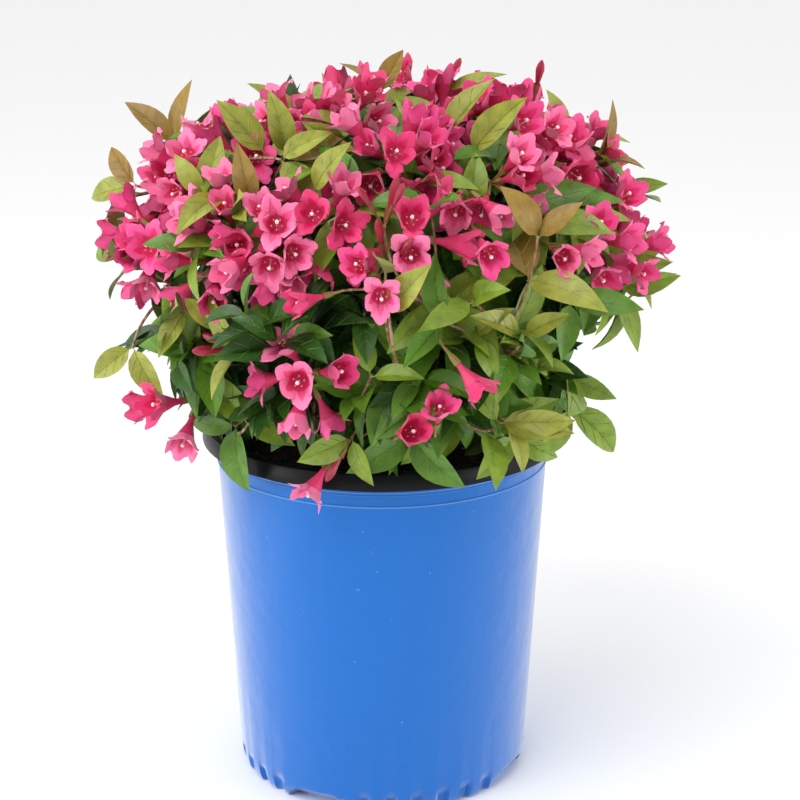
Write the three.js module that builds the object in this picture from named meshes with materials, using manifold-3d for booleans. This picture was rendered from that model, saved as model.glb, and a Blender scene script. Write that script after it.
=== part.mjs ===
// A weigela in bloom, growing in its round nursery pot.
//
// The pot stands on its flat underside, whose middle is the origin, with +Z up and the crown's best
// side facing -Y. Lengths are in millimetres and angles in degrees. The plant rises from the potting
// mix in this order: a short woody foot, one tapering bough for each mass of foliage, then the
// masses. A mass is a stem with twigs, leaves, flowers and buds that keeps to its own share of the
// crown.
import * as THREE from "three";
import { mergeVertices } from "three/addons/utils/BufferGeometryUtils.js";
import Module from "manifold-3d";

// ----------------------------------------------------------------------------- driving dimensions

const CLEARANCE = 0.3; // between two solids that meet
const AIR = 0.4; // between foliage and the limbs
const POT_AIR = 1; // between foliage and the pot

const pot = {
  height: 228,
  lipRadius: 112.5,
  lipHeight: 10.5,
  lipRound: 2, // of the lip's edges
  lipSlope: 1, // that its face leans in by, towards the top
  topRadius: 103.7, // of the wall, under the lip
  beadDrop: 12.5, // from the lip down to the bead round the wall
  beadHeight: 2.4,
  beadProud: 0.9,
  shoulderRadius: 92.5, // where the wall turns in to the foot
  shoulderHeight: 16,
  footRadius: 88,
  footRise: 5, // of the chamfer at the foot
  footRun: 3,
  wall: 2,
  floor: 3,
  notches: 4, // drain openings round the foot
  notchAzimuth: 64, // of one of them
  notchWidth: 45,
  notchHeight: 9,
  notchDepth: 6, // from the rim of the foot inwards
  sides: 32,
};

const mix = {
  level: 202, // height of the potting mix in the middle
  sink: 3, // how much lower it lies at the wall
  levelRadius: 30, // of the flat ground round the woody foot
};

const foot = {
  height: 26,
  flareRadius: 21, // at the ground
  neckRadius: 13.5, // under the fork
  lean: 2.5, // towards +X at the top
  lobes: 5, // root flares
  lobeDepth: 0.16,
};

// The tips of the twigs lie on a squarish dome about the centre, and on a smaller one inside it.
const crown = {
  centreHeight: 315,
  radius: 148,
  above: { height: 103, squareness: 2.9 },
  below: { height: 104, squareness: 1.6 },
  limit: 42, // how far leaves and flowers may stand past the dome
  shells: [
    { tips: 52, share: 0.97, lowest: -50 },
    { tips: 24, share: 0.62, lowest: -58 },
  ],
  scatter: 0.08, // of the reach of a tip, as a share of it
  seed: 16,
};

// Long sprigs that stand out of the dome, each by the share of its reach.
const sprigs = [
  { azimuth: 184, elevation: 18, share: 1.08 },
  { azimuth: 192, elevation: 38, share: 1.14 },
  { azimuth: 275, elevation: 84, share: 1.08 },
  { azimuth: 350, elevation: 32, share: 1.14 },
  { azimuth: 358, elevation: 10, share: 1.1 },
  { azimuth: 352, elevation: -5, share: 1.06 },
  { azimuth: 188, elevation: -14, share: 1.04 },
  { azimuth: 190, elevation: -31, share: 1.08 },
  { azimuth: 250, elevation: -31, share: 1.06 },
  { azimuth: 338, elevation: -30, share: 1.1 },
  { azimuth: 95, elevation: 20, share: 1.1 },
  { azimuth: 60, elevation: 48, share: 1.1 },
  { azimuth: 130, elevation: -12, share: 1.12 },
];

// Each tier of masses: its height about the crown's centre, where its boughs leave the foot, how far
// out and up the bend of a bough lies, as shares of the way to its end, and the share of a limb's
// length that is bare bough, before its mass's stem.
const tiers = {
  top: { elevation: 88, ring: 0, below: 4, out: 0.2, up: 0.6, fork: 0.5 },
  upper: { elevation: 41, ring: 8.6, below: 4, out: 0.36, up: 0.64, fork: 0.66 },
  lower: { elevation: -17, ring: 9, below: 16, out: 0.5, up: 1.32, fork: 0.5 },
};

// The masses, with the way each faces and the share of its twigs that end in blossom.
const masses = [
  { name: "top", tier: tiers.top, azimuth: 270, blossom: 0.85 },
  { name: "upper_front", tier: tiers.upper, azimuth: 270, blossom: 0.65 },
  { name: "upper_left", tier: tiers.upper, azimuth: 198, blossom: 0.85 },
  { name: "upper_back_left", tier: tiers.upper, azimuth: 126, blossom: 0.75 },
  { name: "upper_back_right", tier: tiers.upper, azimuth: 54, blossom: 0.75 },
  { name: "upper_right", tier: tiers.upper, azimuth: 342, blossom: 0.75 },
  { name: "front_left", tier: tiers.lower, azimuth: 247, blossom: 0.5 },
  { name: "front_right", tier: tiers.lower, azimuth: 292, blossom: 0.25 },
  { name: "right", tier: tiers.lower, azimuth: 337, blossom: 0.3 },
  { name: "back_right", tier: tiers.lower, azimuth: 22, blossom: 0.4 },
  { name: "right_of_back", tier: tiers.lower, azimuth: 67, blossom: 0.4 },
  { name: "left_of_back", tier: tiers.lower, azimuth: 112, blossom: 0.4 },
  { name: "back_left", tier: tiers.lower, azimuth: 157, blossom: 0.45 },
  { name: "left", tier: tiers.lower, azimuth: 202, blossom: 0.6 },
];
const HEART_SHARE = 0.56; // where a mass's heart lies, from the crown's centre to the dome

const limbs = {
  stemEnd: 0.84, // where a stem ends, from the crown's centre to the dome
  rootRadius: 4,
  forkRadius: 3, // where bough and stem meet
  tipRadius: 2,
  leafPairs: [0.25, 0.6], // places along a stem, from the fork to its end
};

const twig = {
  rootRadius: 2.1,
  tipRadius: 1.7,
  innerStart: 0.15, // where a twig of the inner shell leaves its stem, from fork to lastStart
  lastStart: 0.93, // the furthest along a limb that a twig starts
  halfwayAside: 0.55, // angle off the limb, in radians, at which a twig starts halfway
  bendAt: 0.45, // along a twig
  pull: 0.18, // of the bend along the limb, as a share of the twig's length
  lift: 4,
  arches: [1, 0.5, 0], // of pull and lift, in the order they are tried
};

const leafAngle = 60; // between a stem or twig and its leaves
const leafPairs = [0.36, 0.68]; // places along a twig
const tuft = { at: 0.94, angle: 38, size: 0.9 }; // the last pair, at a tip without blossom
const collar = { at: 0.92, angle: 60, size: 0.85 }; // the last pair, under a cluster of blossom
const cluster = { at: 0.96, flowers: 2, angle: 44, turned: 50 }; // and one bud, half as far open
const INNER_SIZE = 0.9; // of the leaves of the inner shell

const leaf = { length: 65, width: 32, thickness: 1.1, broadest: 0.42 };
const flower = { length: 28, throatRadius: 4.8, throatAt: 0.64, radius: 15, mouthDepth: 11, lobes: 5 };
const bud = { length: 19, radius: 2.6 };

// How a leaf, flower or bud is set on its twig.
const setting = {
  rootOffset: 0.3, // of a root from the axis of the twig that it is sunk in
  open: [0.85, 1.15], // range of its angle
  size: [0.88, 1.08],
  droop: 0.1,
  tries: 7,
  swing: 24, // between one try and the next
  shrink: 0.06, // of each further try
  freeFrom: 12, // how far out from the twig it must be free of other pieces
  freeShare: 0.8, // of its length
};
const FINEST = 0.03; // detail that a mass keeps

// ------------------------------------------------------------------------------ solids and meshes

const wasm = await Module();
wasm.setup();
const UP = new THREE.Vector3(0, 0, 1);
const radians = THREE.MathUtils.degToRad;

// A closed three.js geometry as a solid that can be cut and joined.
function solidFrom(geometry) {
  const bare = geometry.clone();
  bare.deleteAttribute("normal");
  bare.deleteAttribute("uv");
  const merged = mergeVertices(bare, 1e-3);
  return new wasm.Manifold(
    new wasm.Mesh({
      numProp: 3,
      vertProperties: new Float32Array(merged.attributes.position.array),
      triVerts: new Uint32Array(merged.index.array),
    }),
  );
}

// The largest body of a solid, without loose scraps and sealed pockets.
function largestBody(solid) {
  return solid.decompose().reduce((best, body) => (body.volume() > best.volume() ? body : best));
}

function meshOf(name, solid, material) {
  const { vertProperties, triVerts } = solid.getMesh();
  const geometry = new THREE.BufferGeometry()
    .setAttribute("position", new THREE.BufferAttribute(vertProperties, 3))
    .setIndex(new THREE.BufferAttribute(triVerts, 1));
  geometry.computeVertexNormals();
  const mesh = new THREE.Mesh(geometry, material);
  mesh.name = name;
  return mesh;
}

function pointsOf(geometry) {
  const position = geometry.attributes.position;
  return Array.from({ length: position.count }, (_, i) =>
    new THREE.Vector3().fromBufferAttribute(position, i),
  );
}

// A lathe turned about +Z. The profile runs up the outside from axis to axis, as [radius, height].
function turned(profile, sides) {
  const points = profile.map(([radius, height]) => new THREE.Vector2(radius, height));
  return new THREE.LatheGeometry(points, sides).rotateX(Math.PI / 2);
}

// A closed tube along curve, from share a to share b of it, that tapers from radius r0 to r1.
function limb(curve, a, b, r0, r1, sides, steps) {
  const geometry = new THREE.CylinderGeometry(r1, r0, 1, sides, steps);
  const position = geometry.attributes.position;
  for (let i = 0; i < position.count; i++) {
    const at = a + (b - a) * (position.getY(i) + 0.5);
    const along = curve.getTangent(at);
    const side = levelSide(along);
    const over = new THREE.Vector3().crossVectors(side, along);
    const point = curve
      .getPoint(at)
      .addScaledVector(side, position.getX(i))
      .addScaledVector(over, position.getZ(i));
    position.setXYZ(i, point.x, point.y, point.z);
  }
  return geometry;
}

// The level direction square to a limb that runs along.
function levelSide(along) {
  const side = new THREE.Vector3().crossVectors(along, UP);
  return side.length() < 1e-2 ? new THREE.Vector3(1, 0, 0) : side.normalize();
}

// ------------------------------------------------------------------- the pot and its potting mix

const lipFoot = pot.height - pot.lipHeight;

function wallRadius(height) {
  const share = (height - pot.shoulderHeight) / (lipFoot - pot.shoulderHeight);
  return pot.shoulderRadius + (pot.topRadius - pot.shoulderRadius) * share;
}

// Blow-moulded in one piece: an even wall with a bead, a stiff rolled lip and a flat floor.
function potSolid() {
  const bead = lipFoot - pot.beadDrop;
  const shell = turned(
    [
      [0, 0],
      [pot.footRadius, 0],
      [pot.footRadius + pot.footRun, pot.footRise],
      [pot.shoulderRadius, pot.shoulderHeight],
      [wallRadius(bead - pot.beadHeight), bead - pot.beadHeight],
      [wallRadius(bead) + pot.beadProud, bead - pot.beadHeight / 2],
      [wallRadius(bead), bead],
      [pot.topRadius, lipFoot],
      [pot.lipRadius - pot.lipRound, lipFoot],
      [pot.lipRadius, lipFoot + pot.lipRound],
      [pot.lipRadius - pot.lipSlope, pot.height - pot.lipRound],
      [pot.lipRadius - pot.lipSlope - pot.lipRound, pot.height],
      [pot.topRadius, pot.height],
      [pot.topRadius - pot.wall, lipFoot - pot.lipRound],
      [pot.shoulderRadius - pot.wall, pot.shoulderHeight],
      [pot.footRadius - pot.wall, pot.floor],
      [0, pot.floor],
    ],
    pot.sides,
  );
  return largestBody(drainNotches().reduce((body, notch) => body.subtract(notch), solidFrom(shell)));
}

// Round-headed openings, cut through the foot of the wall from outside.
function drainNotches() {
  const past = 1; // so that the cutter runs clear of the faces
  const radius = pot.notchWidth / 2;
  const [inner, outer] = [pot.footRadius - pot.notchDepth, pot.shoulderRadius + past];
  return Array.from({ length: pot.notches }, (_, i) =>
    solidFrom(
      new THREE.CylinderGeometry(radius, radius, outer - inner, 12)
        .scale(1, 1, (pot.notchHeight + past) / radius)
        .translate(0, (inner + outer) / 2, -past)
        .rotateZ(radians(pot.notchAzimuth - 90 + (i * 360) / pot.notches)),
    ),
  );
}

function mixSolid() {
  const gap = CLEARANCE + 0.2;
  const edge = mix.level - mix.sink;
  return solidFrom(
    turned(
      [
        [0, pot.floor + CLEARANCE],
        [pot.footRadius - pot.wall - gap, pot.floor + CLEARANCE],
        [pot.shoulderRadius - pot.wall - gap, pot.shoulderHeight],
        [wallRadius(edge) - pot.wall - gap, edge],
        [mix.levelRadius, mix.level],
        [0, mix.level],
      ],
      pot.sides,
    ),
  );
}

// The room that the pot takes, with a little air round it, for foliage to keep out of.
function potRoom() {
  return solidFrom(
    turned(
      [
        [0, 0],
        [pot.shoulderRadius + POT_AIR, 0],
        [pot.topRadius + POT_AIR, lipFoot - POT_AIR],
        [pot.lipRadius + POT_AIR, lipFoot - POT_AIR],
        [pot.lipRadius + POT_AIR, pot.height + POT_AIR],
        [pot.topRadius - pot.wall - POT_AIR, pot.height + POT_AIR],
        [wallRadius(mix.level) - pot.wall - POT_AIR, mix.level + POT_AIR],
        [0, mix.level + POT_AIR],
      ],
      pot.sides,
    ),
  );
}

// -------------------------------------------------------------------------------- the woody foot

const footBottom = mix.level + CLEARANCE;
const footTop = footBottom + foot.height;

// The foot, or with skin above 0 the room that it needs.
function footSolid(skin = 0) {
  const geometry = new THREE.CylinderGeometry(1, 1, 1, 15, 4);
  const position = geometry.attributes.position;
  for (let i = 0; i < position.count; i++) {
    const up = position.getY(i) + 0.5;
    const flare = (1 - up) ** 2;
    const angle = Math.atan2(position.getX(i), -position.getZ(i));
    const lobed = 1 + foot.lobeDepth * flare * Math.cos(foot.lobes * angle);
    const radius = foot.neckRadius + (foot.flareRadius - foot.neckRadius) * flare;
    const spread = Math.hypot(position.getX(i), position.getZ(i)) * (radius * lobed + skin);
    position.setXYZ(
      i,
      spread * Math.sin(angle) + foot.lean * up ** 2,
      spread * Math.cos(angle),
      footBottom + up * (foot.height + skin),
    );
  }
  return solidFrom(geometry);
}

// -------------------------------------------------------------------------- the crown and its rule

const crownCentre = new THREE.Vector3(0, 0, crown.centreHeight);

// Numbers from 0 to 1 that are the same each time for one seed.
function randomFrom(seed) {
  let state = (Math.imul(seed, 2654435761) ^ 0x9e3779b9) >>> 0;
  return () => {
    state = (state + 0x6d2b79f5) >>> 0;
    let mixed = Math.imul(state ^ (state >>> 15), state | 1);
    mixed ^= mixed + Math.imul(mixed ^ (mixed >>> 7), mixed | 61);
    return ((mixed ^ (mixed >>> 14)) >>> 0) / 4294967296;
  };
}

function directionTo(azimuth, elevation) {
  const [a, e] = [radians(azimuth), radians(elevation)];
  return new THREE.Vector3(Math.cos(a) * Math.cos(e), Math.sin(a) * Math.cos(e), Math.sin(e));
}

// How far the dome is from the crown's centre, in a direction of length 1.
function domeReach(direction) {
  const { height, squareness } = direction.z > 0 ? crown.above : crown.below;
  const flat = Math.hypot(direction.x, direction.y) / crown.radius;
  const high = Math.abs(direction.z) / height;
  return (flat ** squareness + high ** squareness) ** (-1 / squareness);
}

// A point of the crown: share 1 is on the dome.
function crownPoint(direction, share) {
  return crownCentre.clone().addScaledVector(direction, domeReach(direction) * share);
}

function withinReach(point) {
  const from = point.clone().sub(crownCentre);
  const distance = from.length();
  return distance < domeReach(from.normalize()) + crown.limit;
}

// A mass owns the space that is nearer to its own heart than to any other's.
function keepsToMass(point, mass) {
  const own = point.distanceToSquared(mass.heart);
  return masses.every((other) => {
    if (other === mass) return true;
    const inside = point.distanceToSquared(other.heart) - own;
    return inside / (2 * other.heart.distanceTo(mass.heart)) > CLEARANCE / 2;
  });
}

// The line of a mass's limb: it rises from the foot, then arches out to the mass.
function limbCurve({ direction, tier }) {
  const outer = crownPoint(direction, limbs.stemEnd);
  const flat = new THREE.Vector3(outer.x, outer.y, 0);
  const away = flat.clone().normalize();
  const root = away.clone().multiplyScalar(tier.ring);
  root.x += foot.lean;
  root.z = footTop - tier.below;
  const bend = root.clone().addScaledVector(away, flat.length() * tier.out);
  bend.z += (outer.z - root.z) * tier.up;
  return new THREE.QuadraticBezierCurve3(root, bend, outer);
}

for (const mass of masses) {
  mass.direction = directionTo(mass.azimuth, mass.tier.elevation);
  mass.heart = crownPoint(mass.direction, HEART_SHARE);
  mass.curve = limbCurve(mass);
  mass.tips = [];
}

// Twig tips are spread over each shell in an even spiral. A tip belongs to the mass it is nearest.
function spreadTips() {
  const spiral = Math.PI * (3 - Math.sqrt(5));
  const tips = crown.shells.flatMap(({ tips: count, share, lowest }, shell) => {
    const range = 1 - Math.sin(radians(lowest));
    return Array.from({ length: count }, (_, i) => {
      const high = 1 - ((i + 0.5) / count) * range;
      const flat = Math.sqrt(1 - high ** 2);
      const turn = i * spiral + shell;
      const direction = new THREE.Vector3(flat * Math.cos(turn), flat * Math.sin(turn), high);
      return { direction, share, inner: shell > 0 };
    });
  });
  for (const { azimuth, elevation, share } of sprigs)
    tips.push({ direction: directionTo(azimuth, elevation), share, inner: false });
  tips.forEach((tip, i) => {
    tip.random = randomFrom(crown.seed * 1000 + i);
    const reach = 1 + crown.scatter * (tip.random() - 0.5);
    tip.point = crownPoint(tip.direction, tip.share * reach);
    const nearest = masses.reduce((best, mass) =>
      tip.point.distanceTo(mass.heart) < tip.point.distanceTo(best.heart) ? mass : best,
    );
    nearest.tips.push(tip);
  });
}

// A twig leaves its mass's stem nearer the fork the further its tip lies to the side.
function twigCurve(mass, { direction, point, inner }, arch) {
  const { fork } = mass.tier;
  const aside = direction.angleTo(mass.direction) / twig.halfwayAside;
  const share = inner ? twig.innerStart : 1 / (1 + aside ** 2);
  const start = fork + (twig.lastStart - fork) * share;
  const root = mass.curve.getPoint(start);
  const bend = root
    .clone()
    .lerp(point, twig.bendAt)
    .addScaledVector(mass.curve.getTangent(start), point.distanceTo(root) * twig.pull * arch)
    .addScaledVector(UP, twig.lift * arch);
  return new THREE.QuadraticBezierCurve3(root, bend, point);
}

// ---------------------------------------------------------------------- leaves, flowers and buds

// A leaf of six faces: a blade with a keel under it, broadest nearer its root.
function leafShape(size) {
  const geometry = new THREE.SphereGeometry(1, 3, 2);
  const position = geometry.attributes.position;
  for (let i = 0; i < position.count; i++) {
    const end = Math.round(position.getY(i));
    position.setXYZ(
      i,
      (position.getZ(i) / Math.sqrt(3)) * leaf.width * size,
      [0, leaf.broadest, 1][end + 1] * leaf.length * size,
      (-position.getX(i) / 1.5) * leaf.thickness,
    );
  }
  return geometry;
}

// A trumpet: a tube that widens to the throat, then flares to five points round a hollow mouth.
function flowerShape(size) {
  const profile = [
    [0, 0],
    [flower.throatRadius, flower.length * flower.throatAt],
    [flower.radius, flower.length],
    [0, flower.length - flower.mouthDepth],
  ];
  const points = profile.map(([radius, along]) => new THREE.Vector2(radius * size, along * size));
  return new THREE.LatheGeometry(points, flower.lobes);
}

function budShape(size) {
  const [radius, half] = [bud.radius * size, (bud.length * size) / 2];
  return new THREE.OctahedronGeometry(1).scale(radius, half, radius).translate(0, half, 0);
}

// Sets a shape made along +Y on its root point, with its face towards a direction.
function placed(shape, root, way, face) {
  const across = new THREE.Vector3().crossVectors(way, face).normalize();
  const out = new THREE.Vector3().crossVectors(across, way);
  return shape.applyMatrix4(new THREE.Matrix4().makeBasis(across, way, out).setPosition(root));
}

// Two leaves face to face across a stem or twig, turned round it by a number of degrees.
function leafPair(at, angle, turned, size) {
  return [turned, turned + 180].map((turn) => ({ shape: leafShape, at, angle, turn, size }));
}

// The places where a twig bears leaves, flowers and buds. Each pair of leaves stands square to the
// one before it.
function twigSites({ inner, random }, blossom) {
  const turn = random() * 180;
  const pairs = leafPairs.flatMap((at, i) =>
    leafPair(at, leafAngle, turn + 90 * i, inner ? INNER_SIZE : 1),
  );
  if (inner || random() > blossom)
    return [...pairs, ...leafPair(tuft.at, tuft.angle, turn, tuft.size)];
  const { flowers } = cluster;
  const blooms = Array.from({ length: flowers + 1 }, (_, i) => ({
    shape: i < flowers ? flowerShape : budShape,
    at: cluster.at,
    angle: i < flowers ? cluster.angle : cluster.angle / 2,
    turn: turn + cluster.turned + (i * 360) / (flowers + 1),
    size: 1,
  }));
  return [...pairs, ...leafPair(collar.at, collar.angle, turn, collar.size), ...blooms];
}

function stemSites({ tier }, random) {
  const turn = random() * 180;
  return limbs.leafPairs.flatMap((share, i) =>
    leafPair(tier.fork + (1 - tier.fork) * share, leafAngle, turn + 90 * i, 1),
  );
}

// What has grown so far with the piece at a site fused on, or without it where no try keeps to the
// mass, within reach and off all else. Each try is turned to one side or the other, and smaller.
function withPiece(grown, curve, { shape, at, angle, turn, size }, mass, random) {
  const along = curve.getTangent(at);
  const pick = ([low, high]) => low + (high - low) * random();
  for (let i = 0; i < setting.tries; i++) {
    const swing = setting.swing * (i % 2 ? 1 : -1) * Math.ceil(i / 2);
    const open = radians(angle * pick(setting.open));
    const grows = size * pick(setting.size) * (1 - setting.shrink * i);
    const side = levelSide(along).applyAxisAngle(along, radians(turn + swing));
    const way = along.clone().multiplyScalar(Math.cos(open)).addScaledVector(side, Math.sin(open));
    way.z -= setting.droop;
    way.normalize();
    const root = curve.getPoint(at).addScaledVector(way, setting.rootOffset);
    const geometry = placed(shape(grows), root, way, along);
    if (!pointsOf(geometry).every((p) => keepsToMass(p, mass) && withinReach(p))) continue;
    const piece = solidFrom(geometry);
    const outer = root.clone().addScaledVector(way, setting.freeFrom * size);
    const free = solidFrom(placed(shape(grows * setting.freeShare), outer, way, along));
    if (keptClear.intersect(piece).isEmpty() && grown.intersect(free).isEmpty())
      return grown.add(piece);
  }
  return grown;
}

// ---------------------------------------------------------------------------- limbs and foliage

function boughSolid(mass, skin = 0) {
  const { rootRadius, forkRadius } = limbs;
  const whole = limb(mass.curve, 0, mass.tier.fork, rootRadius + skin, forkRadius + skin, 5, 4);
  return solidFrom(whole).subtract(footSolid(CLEARANCE - skin));
}

function stemSolid(mass) {
  const start = mass.tier.fork + CLEARANCE / mass.curve.getLength();
  return solidFrom(limb(mass.curve, start, 1, limbs.forkRadius, limbs.tipRadius, 4, 3));
}

// Every limb and the pot, each with a little air round it.
const keptClear = masses.reduce(
  (room, mass) => room.add(boughSolid(mass, AIR)),
  potRoom().add(footSolid(AIR)),
);

// A twig arches as far as its mass and the limbs allow, and where even a straight one won't fit
// there is none.
function twigTo(tip, mass) {
  for (const arch of twig.arches) {
    const curve = twigCurve(mass, tip, arch);
    const shape = limb(curve, 0, 1, twig.rootRadius, twig.tipRadius, 3, 2);
    if (!pointsOf(shape).every((point) => keepsToMass(point, mass))) continue;
    const wood = solidFrom(shape);
    if (keptClear.intersect(wood).isEmpty()) return { curve, wood };
  }
  return null;
}

// A mass grows its twigs on its stem first, then what they bear, each piece fused on as it is placed.
function foliageSolid(mass) {
  let grown = stemSolid(mass);
  const twigs = [];
  for (const tip of mass.tips) {
    const grownTwig = twigTo(tip, mass);
    if (!grownTwig) continue;
    grown = grown.add(grownTwig.wood);
    twigs.push({ curve: grownTwig.curve, tip });
  }
  for (const { curve, tip } of twigs)
    for (const site of twigSites(tip, mass.blossom))
      grown = withPiece(grown, curve, site, mass, tip.random);
  const random = randomFrom(crown.seed + mass.azimuth);
  for (const site of stemSites(mass, random))
    grown = withPiece(grown, mass.curve, site, mass, random);
  return largestBody(grown.simplify(FINEST));
}

// ------------------------------------------------------------------------------------- assembly

const paint = (color, roughness) =>
  new THREE.MeshStandardMaterial({ color, roughness, metalness: 0, flatShading: true });
const bluePlastic = paint(0x1568c8, 0.35);
const pottingMix = paint(0x2b211b, 0.95);
const bark = paint(0x6e5a45, 0.85);
const foliage = paint(0x4c7a2a, 0.55);

spreadTips();
const weigela = new THREE.Group();
weigela.add(meshOf("pot", potSolid(), bluePlastic));
weigela.add(meshOf("potting_mix", mixSolid(), pottingMix));
weigela.add(meshOf("woody_foot", footSolid(), bark));
for (const mass of masses) {
  weigela.add(meshOf("bough_" + mass.name, boughSolid(mass), bark));
  weigela.add(meshOf("foliage_" + mass.name, foliageSolid(mass), foliage));
}

export default weigela;
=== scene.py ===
import math
from collections import namedtuple

import bmesh
import bpy
import numpy as np
from mathutils import Matrix, Vector, noise


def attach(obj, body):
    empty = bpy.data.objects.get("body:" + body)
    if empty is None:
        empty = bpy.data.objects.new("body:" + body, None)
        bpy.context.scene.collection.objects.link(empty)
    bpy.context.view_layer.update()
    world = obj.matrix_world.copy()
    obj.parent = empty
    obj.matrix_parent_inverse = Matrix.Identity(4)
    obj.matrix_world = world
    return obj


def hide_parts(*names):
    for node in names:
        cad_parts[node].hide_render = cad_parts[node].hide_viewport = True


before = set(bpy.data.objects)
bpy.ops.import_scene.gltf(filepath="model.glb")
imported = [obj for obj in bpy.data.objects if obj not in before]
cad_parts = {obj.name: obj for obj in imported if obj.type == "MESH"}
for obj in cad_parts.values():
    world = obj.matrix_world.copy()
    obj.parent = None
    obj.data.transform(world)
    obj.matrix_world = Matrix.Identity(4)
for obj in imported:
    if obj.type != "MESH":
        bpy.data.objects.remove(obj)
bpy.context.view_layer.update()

# A weigela in bloom in its nursery pot. Every shape is drawn in millimetres and set in metres by
# the functions that make an object of it: piece(), joined() and tubes().
MM = 0.001


# ---------------------------------------------------------------------------------- the pot's wall
# A 2-gallon nursery pot, blow-moulded from polyethylene in two layers: this blue skin over a black
# one. Its wall tapers to a rounded foot with four wide drain openings and dimples between them.

POT_HEIGHT = 228
LIP_RADIUS = 112.5
LIP_HEIGHT = 10.5
LIP_FOOT = POT_HEIGHT - LIP_HEIGHT
TOP_RADIUS = 103.7  # of the wall, under the lip
SHOULDER_RADIUS = 92.5  # where the wall turns in to the foot
SHOULDER_HEIGHT = 16
FOOT_RADIUS = 88
BASE_RADIUS = 80  # of the middle of the underside, which the openings don't reach
SKIN = 1  # thickness of each of the two layers
THIN_SKIN = 0.6  # and of the blue one on the underside
BEAD = LIP_FOOT - 12.5  # height of the raised line round the wall
BAND_FOOT = LIP_FOOT - 4  # the top of the wall stands out as a band
BAND = 0.6
POT_STEPS = 360
NOTCHES = 4
NOTCH_AZIMUTH = 64
NOTCH_HALF_ANGLE = 14.2
NOTCH_HEIGHT = 9
NOTCH_SQUARENESS = 2.6
DIMPLE_PLACES = [19, 29.4, 39.8, 50.2, 60.6, 71]  # degrees on from a notch
DIMPLE_HALF_ANGLE = 2.6
DIMPLE_DEPTH = 3
DIMPLE_TOP = 13
DIMPLE_FADE = 6  # height over which it runs out at the top
SMOOTH_UP_TO = 35  # degrees between two faces, past which their edge stays sharp


def wall_radius(height):
    """Of the straight taper, and of the quarter ellipse that rounds it in to the foot."""
    if height < SHOULDER_HEIGHT:
        aside = math.sqrt(1 - (1 - height / SHOULDER_HEIGHT) ** 2)
        return FOOT_RADIUS + (SHOULDER_RADIUS - FOOT_RADIUS) * aside
    share = (height - SHOULDER_HEIGHT) / (LIP_FOOT - SHOULDER_HEIGHT)
    return SHOULDER_RADIUS + (TOP_RADIUS - SHOULDER_RADIUS) * share


def spun(profile, steps):
    """A body of revolution about +Z from a closed profile of [radius, height], as a bmesh."""
    bm = bmesh.new()
    points = [bm.verts.new((radius, 0, height)) for radius, height in profile]
    edges = [bm.edges.new(pair) for pair in zip(points, points[1:] + points[:1])]
    bmesh.ops.spin(bm, geom=points + edges, cent=(0, 0, 0), axis=(0, 0, 1), dvec=(0, 0, 0),
                   angle=2 * math.pi, steps=steps, use_merge=True, use_duplicate=False)
    bmesh.ops.remove_doubles(bm, verts=bm.verts, dist=1e-4)
    bmesh.ops.dissolve_degenerate(bm, dist=1e-5, edges=bm.edges)
    bmesh.ops.recalc_face_normals(bm, faces=bm.faces)
    return bm


def from_notch(vert):
    """Degrees on round the pot from the drain opening before this vertex."""
    return (math.degrees(math.atan2(vert.co.y, vert.co.x)) - NOTCH_AZIMUTH) % (360 / NOTCHES)


def on_foot(vert):
    """Whether a vertex lies outside the middle of the underside."""
    return math.hypot(vert.co.x, vert.co.y) > BASE_RADIUS + 2


def notched(bm):
    """Cuts the drain openings: within each rounded arch the foot ends at the arch."""
    for vert in bm.verts:
        turn = from_notch(vert)
        aside = min(turn, 360 / NOTCHES - turn) / NOTCH_HALF_ANGLE
        if aside < 1 and on_foot(vert):
            arch = NOTCH_HEIGHT * (1 - aside ** NOTCH_SQUARENESS) ** (1 / NOTCH_SQUARENESS)
            if vert.co.z < arch:
                vert.co.z = arch + vert.co.z * 0.1  # keeps the skins apart


def dimpled(bm):
    """Presses the upright, flat-bottomed dimples between the drain openings into the foot."""
    for vert in bm.verts:
        turn = from_notch(vert)
        near = min(abs(turn - place) for place in DIMPLE_PLACES) / DIMPLE_HALF_ANGLE
        if near < 1 and vert.co.z < DIMPLE_TOP and on_foot(vert):
            rise = 1 - max(0, vert.co.z - DIMPLE_TOP + DIMPLE_FADE) / DIMPLE_FADE
            depth = DIMPLE_DEPTH * min(1, 1.6 * (1 - near ** 2)) * min(1, 1.5 * rise)
            vert.co -= Vector((vert.co.x, vert.co.y, 0)).normalized() * depth


def linked(name, data):
    """An object of this data, in the scene."""
    made = bpy.data.objects.new(name, data)
    bpy.context.scene.collection.objects.link(made)
    return made


def shaded(name, mesh, material):
    """An object of this mesh in one material, smooth but for its sharp edges."""
    mesh.shade_smooth()
    mesh.set_sharp_from_angle(angle=math.radians(SMOOTH_UP_TO))
    mesh.materials.append(material)
    return linked(name, mesh)


def piece(name, bm, material):
    """An object of a bmesh that is drawn in millimetres."""
    bmesh.ops.scale(bm, vec=(MM, MM, MM), verts=bm.verts)
    mesh = bpy.data.meshes.new(name)
    bm.to_mesh(mesh)
    bm.free()
    return shaded(name, mesh, material)


def finish(name, color, roughness, **sockets):
    """A material with a Principled shader that has these values on its own sockets."""
    material = bpy.data.materials.new(name)
    material.use_nodes = True
    shader = material.node_tree.nodes["Principled BSDF"]
    shader.inputs["Base Color"].default_value = (*color, 1)
    shader.inputs["Roughness"].default_value = roughness
    for socket, value in sockets.items():
        shader.inputs[socket.replace("_", " ")].default_value = value
    return material


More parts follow.
